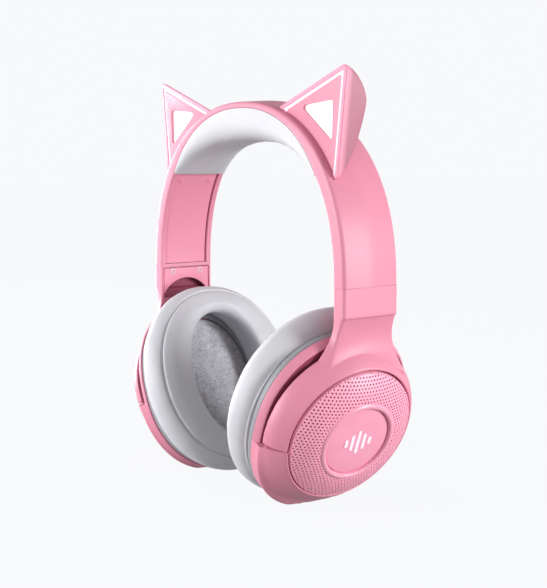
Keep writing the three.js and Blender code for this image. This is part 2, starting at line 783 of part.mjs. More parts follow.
function cushionRing() {
  const t = cushion.thickness;
  const wide = [lipFront + cushion.overhang, lipUp + cushion.overhang];
  const level = (share) => cushionLevel - t * share;
  const outer = (share, inset) => oval(
    level(share), wide[0] - inset, wide[1] - inset, housing.lower * (1 - share), cushion.squareness, aroundSmall,
  );
  const inner = (share, more) => (
    oval(level(share), cushion.openFront + more, cushion.openUp + more, 0, cushion.squareness, aroundSmall)
  );
  const rings = [ // the share of the thickness, and how far in from the widest or out from the opening
    inner(0, 4.5), outer(0, cushion.overhang + 1.5), outer(0.12, 2.6), outer(0.3, 0.5), outer(0.5, 0),
    outer(0.74, 2.0), outer(0.92, 6.4), outer(1, 12), inner(0.95, 1.6), inner(0.8, 0), inner(0.4, 2.4),
  ];
  return closedTube(rings);
}

// A closed ring whose sections are the given loops, in order round the section.
function closedTube(rings) {
  const count = rings[0].length;
  const total = rings.length;
  const index = [];
  for (let i = 0; i < total; i += 1) {
    for (let j = 0; j < count; j += 1) {
      const next = ((i + 1) % total) * count;
      const a = i * count + j;
      const b = i * count + ((j + 1) % count);
      const c = next + ((j + 1) % count);
      const d = next + j;
      index.push(a, b, c, a, c, d);
    }
  }
  const points = rings.flat().flatMap((point) => [point.x, point.y, point.z]);
  const geometry = new THREE.BufferGeometry();
  geometry.setAttribute('position', new THREE.Float32BufferAttribute(points, 3));
  geometry.setIndex(index);
  return facingOut(geometry);
}

function acousticCloth() {
  const [front, up] = [flange.openFront - cloth.inFromFlange, flange.openUp - cloth.inFromFlange];
  const top = flangeLevel - gap * 2;
  const clothOval = (level, scale) => (
    oval(level, front * scale, up * scale, housing.lower, cushion.squareness, aroundSmall)
  );
  const levels = [[top, 1], [top - cloth.thickness, 1], [top - cloth.thickness * 2, 0.86]];
  return ovalLoft(levels.map((pair) => clothOval(...pair)));
}

// ---------------------------------------------------------------- cat ears
const earTip = new THREE.Vector2(band.halfWidth - ear.tipIn, band.rise + ear.tipUp);
const earCorners = [
  earTip,
  new THREE.Vector2(earTip.x - ear.width, earTip.y - ear.fall),
  new THREE.Vector2(earTip.x - ear.lean - 14, earTip.y - ear.length - 2),
  new THREE.Vector2(earTip.x - ear.lean, earTip.y - ear.length),
];

// The ear's outline with its edges moved inwards.
function earOutline(inset, radius) {
  const [tip, inner, rooted, lower] = earCorners;
  const along = (a, b) => b.clone().sub(a).normalize();
  const topEdge = along(tip, inner);
  const outerEdge = along(tip, lower);
  const half = Math.acos(topEdge.dot(outerEdge)) / 2;
  const middle = topEdge.clone().add(outerEdge).normalize();
  const moved = tip.clone().addScaledVector(middle, inset / Math.sin(half));
  const points = [
    moved,
    moved.clone().addScaledVector(topEdge, tip.distanceTo(inner) - inset * 3.5),
    rooted.clone().addScaledVector(middle, -inset * 2),
    moved.clone().addScaledVector(outerEdge, tip.distanceTo(lower) - inset),
  ];
  return rounded(points, radius);
}

// The headband and what is inside its arch, grown by `room`, which the ears are cut by.
function bandRoom(room) {
  const half = halfBand + room;
  const deep = band.depth * 4;
  const section = [
    [-half, deep], [-half, band.edge], [-half + band.edge * 1.5, -room],
    [half - band.edge * 1.5, -room], [half, band.edge], [half, deep],
  ];
  return alongBand(() => section, 0.02, 0.98, 40);
}

const earFront = -ear.front;
const heavy = new THREE.Vector2(earTip.x - ear.heavyIn, earTip.y - ear.heavyDown); // where the ear is thickest

// An outline carried back to the given depths behind the ear's front, drawn in as the rounded back is.
function earLoft(outline, depths) {
  const rings = depths.map((depth) => {
    const share = Math.max(depth, 0) / ear.thickness;
    const scale = (1 - share ** ear.backBulge) ** ear.backEdge;
    return outline.map((point) => {
      const moved = point.clone().sub(heavy).multiplyScalar(scale).add(heavy);
      return new THREE.Vector3(moved.x, earFront + depth, moved.y);
    });
  });
  return loft(rings, outline);
}

function earShell() {
  const levels = [0, 0.17, 0.32, 0.47, 0.62, 0.77, 0.9, 0.97];
  const body = earLoft(earOutline(0, ear.tipRadius), levels.map((share) => share * ear.thickness));
  const pocket = earLoft(earOutline(ear.rim, ear.pocketRadius), [-1, 0, ear.pocket / 2, ear.pocket]);
  return cut(body, cut(pocket, bandRoom(ear.wall)), bandRoom(gap));
}

const diffuserDepth = ear.panelThickness + gap * 2;
const boardDepth = diffuserDepth + ear.diffuserThickness + gap;

function windowOutline(grow) {
  const corners = [ear.windowTop, ear.windowInner, ear.windowLower].map(([inward, down]) => (
    new THREE.Vector2(earTip.x - inward, earTip.y - down)
  ));
  const centre = corners.reduce((sum, point) => sum.add(point), new THREE.Vector2()).divideScalar(3);
  return rounded(corners.map((point) => (
    point.clone().add(point.clone().sub(centre).setLength(grow))
  )), 1.6);
}

function earPanel() {
  const plate = earLoft(earOutline(ear.rim + ear.strip, ear.pocketRadius), [gap, gap + ear.panelThickness]);
  const opening = slab(windowOutline(0), -pass, pass);
  return cut(plate, opening, bandRoom(ear.wall + ear.strip));
}

function earDiffuser() {
  const plate = earLoft(earOutline(ear.rim + gap, ear.pocketRadius), [diffuserDepth, boardDepth - gap]);
  return cut(plate, bandRoom(ear.wall + gap));
}

function earBoard() {
  const front = earFront + boardDepth;
  return slab(windowOutline(-ear.boardInset), front, front + board.thickness);
}

// ---------------------------------------------------------------- electronics
function plateBehindGrille(size) {
  return block(
    [-size.width / 2, size.width / 2], [-size.length / 2, size.length / 2],
    [-size.level, -size.level + size.thickness],
  );
}

function chargePort() {
  const shell = block([-port.width / 2, port.width / 2], [-port.height / 2, port.height / 2], [-port.depth, 0]);
  const mouth = block(
    [-port.width / 2 + port.wall, port.width / 2 - port.wall],
    [-port.height / 2 + port.wall, port.height / 2 - port.wall], [-port.depth + 0.8, 1],
  );
  return cut(shell, mouth).applyMatrix4(portPlace);
}

// ---------------------------------------------------------------- assembly
const headset = new THREE.Group();
const seam = new THREE.Group();
seam.position.z = seamHeight;
headset.add(seam);

const cups = {};
for (const side of [1, -1]) {
  const group = new THREE.Group();
  const basis = new THREE.Matrix4().makeBasis(
    new THREE.Vector3(cupBack.x, side * cupBack.y, 0),
    new THREE.Vector3(side * cupUp.x, cupUp.y, cupUp.z),
    new THREE.Vector3(side * cupAxis.x, cupAxis.y, cupAxis.z),
  );
  group.quaternion.setFromRotationMatrix(basis);
  group.position.set(side * cupCentre.x, cupCentre.y, cupCentre.z);
  seam.add(group);
  cups[side] = group;
}

function add(group, name, geometry, material) {
  const mesh = new THREE.Mesh(geometry, material);
  mesh.name = name;
  group.add(mesh);
}

const sides = [[1, 'left'], [-1, 'right']];

function addPair(name, geometry, material) {
  for (const [side, word] of sides) {
    add(seam, `${name}_${word}`, side > 0 ? geometry : mirrored(geometry), material);
  }
}

function addCupPair(name, geometry, material) {
  for (const [side, word] of sides) {
    add(cups[side], `${name}_${word}`, side > 0 ? geometry : mirrored(geometry), material);
  }
}

const ends = ['front', 'rear'];

add(seam, 'headband_outer_shell', outerShell(), pinkShell);
add(seam, 'headband_spring', springBand, steel);
add(seam, 'headband_pad_base', padBase, darkPlastic);
add(seam, 'headband_pad', padSolid(), greyLeather);
add(seam, 'cup_link_wire', linkWire(), darkPlastic);

addPair('inner_panel', innerPanel(), pinkInner);
plugPlaces().forEach((place, i) => {
  addPair(`panel_plug_${ends[i]}`, plug.clone().applyMatrix4(place), pinkInner);
});
addPair('slider_track', sliderTrack(), darkPlastic);
addPair('detent_spring', detentSpring(), steel);
addPair('slider_plate', sliderPlate(), steel);
addPair('yoke_shell', yokeShell(), pinkShell);
addPair('yoke_cover', yokeCover(), pinkInner);
screwPlaces.forEach((place, i) => {
  addPair(`cover_screw_${ends[i]}`, coverScrew.clone().applyMatrix4(place), steel);
});

addPair('ear_shell', earShell(), pinkShell);
addPair('ear_panel', earPanel(), pinkShell);
addPair('ear_diffuser', earDiffuser(), whiteLight);
addPair('ear_led_board', earBoard(), circuit);

pinPlaces.forEach((place, i) => {
  addCupPair(`pivot_pin_${ends[i]}`, pin.clone().applyMatrix4(place), steel);
});
for (const [side, word] of sides) {
  const shell = housingShell(side);
  add(cups[side], `cup_housing_${word}`, side > 0 ? shell : mirrored(shell), pinkShell);
}
addCupPair('speaker_grille', grilleDome(), pinkInner);
addCupPair('badge_ring', badgeRing(), pinkShell);
addCupPair('badge_disc', badgeDisc, pinkInner);
addCupPair('baffle', baffleDisc(), darkPlastic);
addCupPair('driver', driverUnit, darkPlastic);
addCupPair('cushion_flange', flangeRing(), greyPlastic);
addCupPair('ear_cushion', cushionRing(), greyLeather);
addCupPair('acoustic_cloth', acousticCloth(), greyCloth);

add(cups[1], 'circuit_board', plateBehindGrille(board), circuit);
add(cups[-1], 'battery', plateBehindGrille(battery), batteryWrap);
const buttonRod = rod(button.radius, -button.length, button.proud, 16);
add(cups[1], 'power_button', buttonRod.applyMatrix4(buttonPlace), pinkInner);
add(cups[1], 'charge_port', chargePort(), steel);
const micRod = rod(microphone.radius, -6, -6 + microphone.height);
add(cups[1], 'microphone', micRod.applyMatrix4(micPlace), darkPlastic);

export default headset;
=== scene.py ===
"""A wireless gaming headset with lit cat ears, standing on its two cups.

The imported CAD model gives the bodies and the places. Sizes here are in millimetres and become metres as
a piece's points are placed. Pieces of a side are modelled once, for the wearer's left, and mirrored.
"""
import math

import bpy
from mathutils import Matrix, Vector, noise


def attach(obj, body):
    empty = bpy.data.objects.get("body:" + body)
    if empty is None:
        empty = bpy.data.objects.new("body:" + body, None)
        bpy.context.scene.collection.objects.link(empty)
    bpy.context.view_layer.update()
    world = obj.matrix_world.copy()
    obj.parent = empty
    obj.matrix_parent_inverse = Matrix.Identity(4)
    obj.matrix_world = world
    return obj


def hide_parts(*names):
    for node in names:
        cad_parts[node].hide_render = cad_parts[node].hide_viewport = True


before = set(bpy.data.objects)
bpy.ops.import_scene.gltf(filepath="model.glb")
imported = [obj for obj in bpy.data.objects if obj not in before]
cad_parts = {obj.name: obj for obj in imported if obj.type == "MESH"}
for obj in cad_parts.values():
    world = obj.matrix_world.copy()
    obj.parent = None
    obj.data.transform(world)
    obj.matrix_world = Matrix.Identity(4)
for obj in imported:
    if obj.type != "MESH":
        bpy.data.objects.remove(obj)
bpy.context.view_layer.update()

MM = 0.001
GAP = 0.3

# ---------------------------------------------------------------- driving sizes
SEAM_HEIGHT = 111.2

BAND_HALF_WIDTH = 83.0
BAND_RISE = 88.0
BAND_SQUARENESS = 2.2
BAND_WIDTH = 33.6
BAND_DEPTH = 7.6
BAND_WALL = 1.7
BAND_RIM = 3.2
CROWN_DEPTH = 3.4

PANEL_THICKNESS = 1.4
PANEL_TOP = BAND_DEPTH - 1.0 - PANEL_THICKNESS

PAD_REACH = 56.0
PAD_THICKNESS = 16.5
PAD_END_THICKNESS = 1.4

EAR_TIP = Vector((80.0, 102.5))
EAR_WIDTH = 53.0
EAR_FALL = 19.2
EAR_LENGTH = 53.0
EAR_LEAN = 6.5
EAR_FRONT = -13.2
EAR_THICKNESS = 13.0
EAR_RIM = 2.1
EAR_STRIP = 1.3
STRIP_DEPTH = 0.4  # of the lit strip and the lit window behind the ear's front
WINDOW_DEPTH = 1.7
EAR_POCKET = 6.0
EAR_WINDOW = ((10.5, 16.5), (34.5, 18.5), (11.0, 36.0))

CUP_CENTRE = Vector((71.0, -1.75, -72.25))
CUP_TILT = math.radians(21.4)
CUP_TOE = math.radians(3.7)

GRILLE_RADIUS = 34.4
GRILLE_RISE = 5.6
HOLE_PITCH = 1.8
HOLE_RADIUS = 0.43
RING_OUTER = 21.4
RING_INNER = 18.2
RING_TOP = 6.95

COLLAR_FLARE = 7.8
COLLAR_BOTTOM = -12.0
COLLAR_WALL = 2.4
COLLAR_HALF_ANGLE = 97.0
SHOULDER = GRILLE_RADIUS + COLLAR_FLARE
NECK_RADIUS = GRILLE_RADIUS + 0.2

LIP_LEVEL = -14.0
FLANGE_LEVEL = -19.0
LIP_FRONT = GRILLE_RADIUS + 9.1
LIP_UP = GRILLE_RADIUS + 13.1
LIP_LOWER = 1.5
LIP_SQUARENESS = 2.25
FLANGE_THICKNESS = 3.4

CUSHION_LEVEL = FLANGE_LEVEL - GAP - FLANGE_THICKNESS - GAP
CUSHION_THICKNESS = 20.6
CUSHION_OVERHANG = 4.6
CUSHION_OPEN_FRONT = 24.3
CUSHION_OPEN_UP = 34.8
CUSHION_SQUARENESS = 2.1

YOKE_STRAIGHT = 14.0
YOKE_SCOOP = 3.8
ARM_PULL = 0.62  # how far down the arm its scoop is deepest, as a share
ARM_SKIN = 2.6  # wall left between the arm's outer face and its hollow
ARM_SPREAD = 0.5  # how much wider the arm is where it meets the collar
COVER_THICKNESS = 1.5
ARCH_CUT_RADIUS = 17.2
ARCH_CUT_APEX = 8.6
YOKE_SIDE = 1.5  # wall on either side of the yoke's hollow
SCREW_SPREAD = 9.2
SCREW_BELOW = 4.6

ROUND = 96  # points round a cup


# ---------------------------------------------------------------- shader maths
class Wire:
    """A socket that Python sums can be written with; each operator adds its Math node."""

    def __init__(self, paint, socket):
        self.paint = paint
        self.socket = socket

    def _sum(self, operation, left, right):
        return self.paint.node("ShaderNodeMath", {"operation": operation}, {0: left, 1: right})

    def __add__(self, other):
        return self._sum("ADD", self, other)

    __radd__ = __add__

    def __mul__(self, other):
        return self._sum("MULTIPLY", self, other)

    __rmul__ = __mul__

    def __sub__(self, other):
        return self._sum("SUBTRACT", self, other)

    def __rsub__(self, other):
        return self._sum("SUBTRACT", other, self)

    def __truediv__(self, other):
        return self._sum("DIVIDE", self, other)

    def __lt__(self, other):
        return self._sum("LESS_THAN", self, other)


class Paint:
    """A material: its nodes, its shader and the point of the surface in millimetres."""

    def __init__(self, name, **constants):
        self.material = bpy.data.materials.new(name)
        self.material.use_nodes = True
        self.tree = self.material.node_tree
        self.shader = self.tree.nodes["Principled BSDF"]
        for socket, value in constants.items():
            self.shader.inputs[socket.replace("_", " ")].default_value = value
        place = self.node("ShaderNodeTexCoord", {}, {}, "Object")
        self.point = self.node(
            "ShaderNodeVectorMath", {"operation": "SCALE"}, {0: place, "Scale": 1 / MM}
        )

    def node(self, kind, settings, inputs, output=0):
        made = self.tree.nodes.new(kind)
        for name, value in settings.items():
            setattr(made, name, value)
        for name, value in inputs.items():
            if isinstance(value, Wire):
                self.tree.links.new(value.socket, made.inputs[name])
            else:
                made.inputs[name].default_value = value
        return Wire(self, made.outputs[output])

    def noise(self, size, detail=2.0, stretch=(1, 1, 1)):
        """Noise from 0 to 1 whose features are about `size` millimetres."""
        stretched = self.node(
            "ShaderNodeVectorMath", {"operation": "MULTIPLY"}, {0: self.point, 1: stretch}
        )
        return self.node(
            "ShaderNodeTexNoise", {}, {"Vector": stretched, "Scale": 1 / size, "Detail": detail}
        )

    def cells(self, size, feature="F1", output="Distance"):
        return self.node(
            "ShaderNodeTexVoronoi", {"feature": feature}, {"Vector": self.point, "Scale": 1 / size}, output
        )

    def axes(self):
        split = self.node("ShaderNodeSeparateXYZ", {}, {"Vector": self.point})
        outputs = split.socket.node.outputs
        return [Wire(self, outputs[i]) for i in range(3)]

    def mix(self, factor, first, second):
        return self.node(
            "ShaderNodeMix", {"data_type": "RGBA"}, {"Factor": factor, 6: first, 7: second}, 2
        )

    def feed(self, **sockets):
        for socket, value in sockets.items():
            self.tree.links.new(value.socket, self.shader.inputs[socket.replace("_", " ")])

    def bump(self, height, depth, strength=1.0):
        """Height from 0 to 1 as relief that is `depth` millimetres deep."""
        normal = self.node(
            "ShaderNodeBump", {}, {"Height": height, "Distance": depth * MM, "Strength": strength}
        )
        self.feed(Normal=normal)


def shade(red, green, blue, strength):
    """A colour on the usual 0 to 255 scale, as the linear one that shaders take, darkened to a strength."""
    channels = []
    for channel in (red, green, blue):
        share = channel / 255
        linear = share / 12.92 if share <= 0.04045 else ((share + 0.055) / 1.055) ** 2.4
        channels.append(linear * strength)
    return (*channels, 1.0)


# ---------------------------------------------------------------- finishes
def moulded(name, light, dark, roughness, coat=0.06):
    """Satin moulded plastic: a fine spark-eroded grain and a faint cloudiness."""
    paint = Paint(name, Coat_Weight=coat, Coat_Roughness=0.28, Specular_IOR_Level=0.28)
    cloud = paint.noise(26, 3)
    grain = paint.noise(0.22, 2)
    paint.feed(
        Base_Color=paint.mix(cloud * 0.8 + grain * 0.2, dark, light),
        Roughness=roughness - 0.04 + cloud * 0.05 + grain * 0.06,
    )
    paint.bump(grain, 0.012, 0.5)
    return paint.material


def ear_plastic_with_painted_shade():
    """The moulded pink, with painted shade: its colour darkens towards the ear's back."""
    paint = Paint("pink_ear_painted_shade", Coat_Weight=0.06, Coat_Roughness=0.28, Specular_IOR_Level=0.28)
    _, along, _ = paint.axes()
    grain = paint.noise(0.22, 2)
    # painted shade: the base colour goes darker with distance behind the ear's front
    depth = (along - EAR_FRONT - 1.0) * 0.3
    paint.feed(
        Base_Color=paint.mix(depth, shade(252, 164, 190, 0.80), shade(222, 140, 163, 0.58)),
        Roughness=0.38 + grain * 0.08,
    )
    paint.bump(grain, 0.012, 0.5)
    return paint.material


def punched_metal():
    paint = Paint("pink_punched_metal", Coat_Weight=0.1, Coat_Roughness=0.3, Specular_IOR_Level=0.4)
    cloud = paint.noise(14, 2)
    speck = paint.noise(0.3, 2)
    paint.feed(
        Base_Color=paint.mix(cloud, shade(250, 164, 190, 0.90), shade(253, 172, 196, 0.94)),
        Roughness=0.38 + speck * 0.12,
    )
    paint.bump(speck, 0.02, 0.6)
    return paint.material


def leather():
    """Light grey synthetic leather: a fine pebble grain between creases, its tone varied by the pebbles and soft
    noise.
    """
    paint = Paint("grey_leather", Sheen_Weight=0.12, Sheen_Roughness=0.5, Specular_IOR_Level=0.42)
    pebble = paint.cells(0.95, "SMOOTH_F1")
    fine = paint.noise(0.35, 3)
    cloud = paint.noise(30, 3)
    crease = paint.noise(7, 4, (1, 1, 2.4))
    height = pebble * 0.6 + fine * 0.25 + crease * 0.5
    paint.feed(
        Base_Color=paint.mix(
            cloud * 0.5 + fine * 0.25 + (1 - pebble) * 0.25,
            shade(208, 208, 213, 0.72), shade(226, 226, 231, 0.84)
        ),
        Roughness=0.46 + pebble * 0.12 + cloud * 0.05,
    )
    paint.bump(height, 0.10, 0.55)
    return paint.material


def knitted_cloth():
    """Soft knitted mesh: crossing rows of stitches over a fuzzy ground."""
    paint = Paint("grey_cloth", Sheen_Weight=0.5, Sheen_Roughness=0.4, Specular_IOR_Level=0.2)
    across, along, up = paint.axes()
    pitch = 1.25
    rows = paint.node("ShaderNodeMath", {"operation": "SINE"}, {0: (up + across * 0.35) * (2 * math.pi / pitch)})
    wales = paint.node("ShaderNodeMath", {"operation": "SINE"}, {0: along * (2 * math.pi / pitch)})
    fuzz = paint.noise(0.8, 4)
    broad = paint.noise(5, 3)
    stitch = (rows * wales) * 0.5 + 0.5
    light = stitch * 0.3 + fuzz * 1.5 - 0.65 + broad * 0.4
    paint.feed(
        Base_Color=paint.mix(light, shade(96, 94, 104, 0.8), shade(236, 235, 240, 1)),
        Roughness=0.85 + fuzz * 0.1,
    )
    paint.bump(stitch * 0.5 + fuzz, 0.5, 0.8)
    return paint.material


def lit_plastic(name, colour, glow, strength):
    """Translucent plastic with a light behind it, its glow varied by a soft cloud."""
    paint = Paint(name, Emission_Strength=strength, Coat_Weight=0.2, Specular_IOR_Level=0.4)
    cloud = paint.noise(9, 2)
    paint.feed(
        Base_Color=paint.mix(cloud, colour, glow),
        Emission_Color=paint.mix(cloud, colour, glow),
        Roughness=0.3 + cloud * 0.1,
    )
    return paint.material


def brushed_metal():
    paint = Paint("bright_steel", Metallic=1.0)
    lines = paint.noise(0.25, 2, (1, 1, 0.05))
    paint.feed(
        Base_Color=paint.mix(lines, shade(140, 138, 142, 1), shade(176, 174, 178, 1)),
        Roughness=0.26 + lines * 0.16,
    )
    paint.bump(lines, 0.01, 0.5)
    return paint.material


def circuit_board():
    """Green lacquer over copper tracks that run in steps."""
    paint = Paint("circuit_green", Coat_Weight=0.4, Coat_Roughness=0.2)
    tracks = paint.cells(2.4, "DISTANCE_TO_EDGE") < 0.09
    lacquer = paint.noise(1.2, 2)
    paint.feed(
        Base_Color=paint.mix(tracks, shade(26, 84, 58, 1), shade(96, 150, 92, 1)),
        Roughness=0.35 + lacquer * 0.2,
    )
    paint.bump(tracks, 0.05, 0.6)
    return paint.material


PINK = moulded("pink_moulded", shade(252, 162, 187, 0.73), shade(248, 155, 180, 0.69), 0.42)
PINK_DEEP = moulded("pink_inner_moulded", shade(252, 160, 185, 0.78), shade(248, 152, 178, 0.74), 0.46)
PINK_BRIGHT = moulded("pink_badge_moulded", shade(252, 172, 196, 0.88), shade(250, 166, 190, 0.84), 0.32, 0.2)
# painted shade: a darker copy of the pink for the channel under the yoke and the yoke's hollow
PINK_PAINTED_SHADE = moulded("pink_painted_shade", shade(190, 88, 118, 0.55), shade(180, 80, 110, 0.5), 0.6, 0.0)
# the ear's pink, with painted shade towards its back
EAR_PINK_SHADED_BACK = ear_plastic_with_painted_shade()
PUNCHED = punched_metal()
LINING = moulded("pink_lining", shade(226, 148, 170, 1), shade(216, 138, 160, 1), 0.8, 0.0)
LEATHER = leather()
CLOTH = knitted_cloth()
GREY = moulded("grey_moulded", shade(176, 178, 184, 0.75), shade(166, 168, 174, 0.7), 0.42)
DARK = moulded("dark_moulded", shade(58, 56, 62, 1), shade(46, 44, 50, 1), 0.55)
STRIP_LIT = lit_plastic("strip_lit", shade(255, 200, 220, 1), shade(255, 214, 229, 1), 0.4)
WHITE_LIT = lit_plastic("white_lit", shade(250, 250, 254, 1), shade(255, 255, 255, 1), 0.75)
BADGE_LIT = lit_plastic("badge_glow", shade(246, 158, 184, 0.8), shade(250, 170, 194, 0.85), 0.1)
MARK_LIT = lit_plastic("mark_glow", shade(252, 208, 221, 1), shade(255, 224, 233, 1), 0.2)
STEEL = brushed_metal()
SCREW = moulded("painted_screw", shade(238, 196, 208, 0.8), shade(226, 184, 198, 0.75), 0.4)
BOARD = circuit_board()
WRAP = moulded("battery_wrap", shade(160, 168, 178, 0.8), shade(148, 154, 166, 0.8), 0.3, 0.5)


# ---------------------------------------------------------------- modelling helpers
def take(piece):
    bpy.ops.object.select_all(action="DESELECT")
    piece.select_set(True)
    bpy.context.view_layer.objects.active = piece


def in_edit(piece, *steps):
    """Runs mesh operators, each given as (operator, settings), on the whole of a piece."""
    take(piece)
    bpy.ops.object.mode_set(mode="EDIT")
    bpy.ops.mesh.select_all(action="SELECT")
    for operator, settings in steps:
        operator(**settings)
    bpy.ops.object.mode_set(mode="OBJECT")


def closed_up(piece):
    in_edit(
        piece,
        (bpy.ops.mesh.remove_doubles, {"threshold": 0.002}),
        (bpy.ops.mesh.fill_holes, {"sides": 0}),
        (bpy.ops.mesh.normals_make_consistent, {"inside": False}),
    )


def formed(name, columns, rows, place):
    """A grid whose point at (column, row) goes where place says, in millimetres, closed and facing out."""
    bpy.ops.object.select_all(action="DESELECT")
    bpy.ops.mesh.primitive_grid_add(x_subdivisions=columns, y_subdivisions=rows, size=1)
    piece = bpy.context.object
    piece.name = name
    for vertex in piece.data.vertices:
        column = round((vertex.co.x + 0.5) * columns)
        row = round((vertex.co.y + 0.5) * rows)
        vertex.co = place(column, row)
    closed_up(piece)
    return piece


def applied(piece, kind, **settings):
    modifier = piece.modifiers.new(kind.title(), kind)
    for name, value in settings.items():
        setattr(modifier, name, value)
    take(piece)
    bpy.ops.object.modifier_apply(modifier=modifier.name)


def cut_by(piece, *tools):
    for tool in tools:
        applied(piece, "BOOLEAN", operation="DIFFERENCE", object=tool, solver="EXACT")


def joined_with(piece, *others):
    for other in others:
        applied(piece, "BOOLEAN", operation="UNION", object=other, solver="EXACT")
        bpy.data.objects.remove(other)


def dropped(*pieces):
    for piece in pieces:
        bpy.data.objects.remove(piece)


def smooth(piece, angle=35):
    take(piece)
    bpy.ops.object.shade_smooth_by_angle(angle=math.radians(angle))


def rounded(points, radii, steps=4):
    """A closed outline with its corners rounded; every corner gives steps + 1 points."""
    outline = []
    for i, corner in enumerate(points):
        corner = Vector(corner)
        before = Vector(points[i - 1]) - corner
        after = Vector(points[(i + 1) % len(points)]) - corner
        half = before.angle(after) / 2
        reach = min(radii[i] / math.tan(half), before.length * 0.49, after.length * 0.49)
        start = corner + before.normalized() * reach
        end = corner + after.normalized() * reach
        for k in range(steps + 1):
            share = k / steps
            pull = start.lerp(corner, share).lerp(corner.lerp(end, share), share)
            outline.append(pull)
    return outline


def spun(name, profile, columns=ROUND, start=0.0, turn=360.0):
    """A (radius, level) outline carried round the cup's axis, from the top towards the rear."""
    def place(column, row):
        angle = math.radians(start + turn * column / columns)
        radius, level = profile[row % len(profile)]
        return Vector((radius * math.sin(angle), radius * math.cos(angle), level))
    return formed(name, columns, len(profile), place)


def disc_turned(name, profile, columns=ROUND):
    """An open (radius, level) profile that starts and ends on the axis."""
    def place(column, row):
        angle = 2 * math.pi * column / columns
        radius, level = profile[row]
        return Vector((radius * math.sin(angle), radius * math.cos(angle), level))
    return formed(name, columns, len(profile) - 1, place)


def slab(name, outline, near, far, lay):
    """A plate of the given outline from near to far; lay(x, y, depth) says where its points go."""
    bpy.ops.object.select_all(action="DESELECT")
    bpy.ops.mesh.primitive_circle_add(vertices=len(outline), radius=1, fill_type="NGON")
    piece = bpy.context.object
    piece.name = name
    for vertex, (x, y) in zip(piece.data.vertices, outline):
        vertex.co = (x, y, near)
    in_edit(piece, (
        bpy.ops.mesh.extrude_region_move,
        {"TRANSFORM_OT_translate": {"value": (0, 0, far - near)}},
    ))
    for vertex in piece.data.vertices:
        vertex.co = lay(*vertex.co)
    closed_up(piece)
    return piece


# ---------------------------------------------------------------- places
TO_ROW = Matrix.Scale(MM, 4)
TO_SEAM = TO_ROW @ Matrix.Translation((0, 0, SEAM_HEIGHT))
CUP_OUT = Vector((
    math.cos(CUP_TILT) * math.cos(CUP_TOE), -math.cos(CUP_TILT) * math.sin(CUP_TOE), -math.sin(CUP_TILT),
))
CUP_REAR = Vector((math.sin(CUP_TOE), math.cos(CUP_TOE), 0))
CUP_UP = CUP_OUT.cross(CUP_REAR)
CUP_IN_SEAM = Matrix.Translation(CUP_CENTRE) @ Matrix((CUP_REAR, CUP_UP, CUP_OUT)).transposed().to_4x4()
TO_CUP = TO_SEAM @ CUP_IN_SEAM
MIRROR = Matrix.Scale(-1, 4, (1, 0, 0))
SIDES = (("left", Matrix.Identity(4)), ("right", MIRROR))


def shown(piece, body, node, finish):
    """Gives a piece its finish, lets it ride on its body and stands it in for a CAD node."""
    piece.data.materials.clear()
    piece.data.materials.append(finish)
    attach(piece, body)
    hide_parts(node)
    return piece


def added(piece, name, lay, body, finish):
    """Places a copy of a piece that stands for no CAD node of its own."""
    copy = piece.copy()
    copy.data = piece.data.copy()
    copy.name = name
    bpy.context.collection.objects.link(copy)
    copy.data.transform(lay)
    if lay.determinant() < 0:
        copy.data.flip_normals()
    copy.data.materials.append(finish)
    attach(copy, body)
    smooth(copy)


def on_both_sides(piece, lay, body, node, finish, on_floor=False):
    """Copies a piece that was modelled for the left to both sides."""
    made = []
    for side, flip in SIDES:
        copy = piece.copy()
        copy.data = piece.data.copy()
        copy.name = f"{piece.name}_{side}"
        bpy.context.collection.objects.link(copy)
        copy.data.transform(flip @ lay)
        if side == "right":
            copy.data.flip_normals()
        if on_floor:
            for vertex in copy.data.vertices:
                vertex.co.z = max(vertex.co.z, 0.0)
        riding = body if body == "headband" else f"{body}_{side}"
        made.append(shown(copy, riding, f"{node}_{side}", finish))
    bpy.data.objects.remove(piece)
    return made


class Arch:
    """The headband's outer line, by its share of the length from the left end to the right."""

    def __init__(self, count=4000):
        power = 2 / BAND_SQUARENESS
        self.points = []
        for i in range(count + 1):
            angle = math.pi * i / count
            c = math.cos(angle)
            x = BAND_HALF_WIDTH * math.copysign(abs(c) ** power, c)
            self.points.append(Vector((x, BAND_RISE * abs(math.sin(angle)) ** power)))
        self.lengths = [0.0]
        for a, b in zip(self.points, self.points[1:]):
            self.lengths.append(self.lengths[-1] + (b - a).length)

    def at(self, share):
        """The point and the inward direction there, as (x, z)."""
        wanted = min(max(share, 0.0), 1.0) * self.lengths[-1]
        low, high = 0, len(self.lengths) - 1
        while high - low > 1:
            middle = (low + high) // 2
            if self.lengths[middle] <= wanted:
                low = middle
            else:
                high = middle
        a, b = self.points[low], self.points[high]
        part = (wanted - self.lengths[low]) / (self.lengths[high] - self.lengths[low])
        along = (self.points[min(high + 12, len(self.points) - 1)] - self.points[max(low - 12, 0)]).normalized()
        return a.lerp(b, part), Vector((-along.y, along.x))

    def share_at_height(self, height):
        low, high = 0.0, 0.5
        for _ in range(40):
            middle = (low + high) / 2
            if self.at(middle)[0].y < height:
                low = middle
            else:
                high = middle
        return low


ARCH = Arch()
PAD_END = ARCH.share_at_height(PAD_REACH)


def on_arch(share, y, depth):
    point, inward = ARCH.at(share)
    spot = point + inward * depth
    return Vector((spot.x, y, spot.y))


def along_band(name, section_at, start, end, steps):
    """Carries a closed section of (y, depth) points along part of the arch."""
    def place(column, row):
        share = start + (end - start) * row / steps
        section = section_at(share)
        y, depth = section[column % len(section)]
        return on_arch(share, y, depth)
    return formed(name, len(section_at(start)), steps, place)


def crown(share):
    """1 at the top of the headband and 0 at the pad's ends."""
    away = abs(share - 0.5) / (0.5 - PAD_END)
    return 0.0 if away >= 1 else math.cos(away * math.pi / 2) ** 0.8


def rim_depth(share):
    return BAND_DEPTH + (CROWN_DEPTH - BAND_DEPTH) * crown(share)


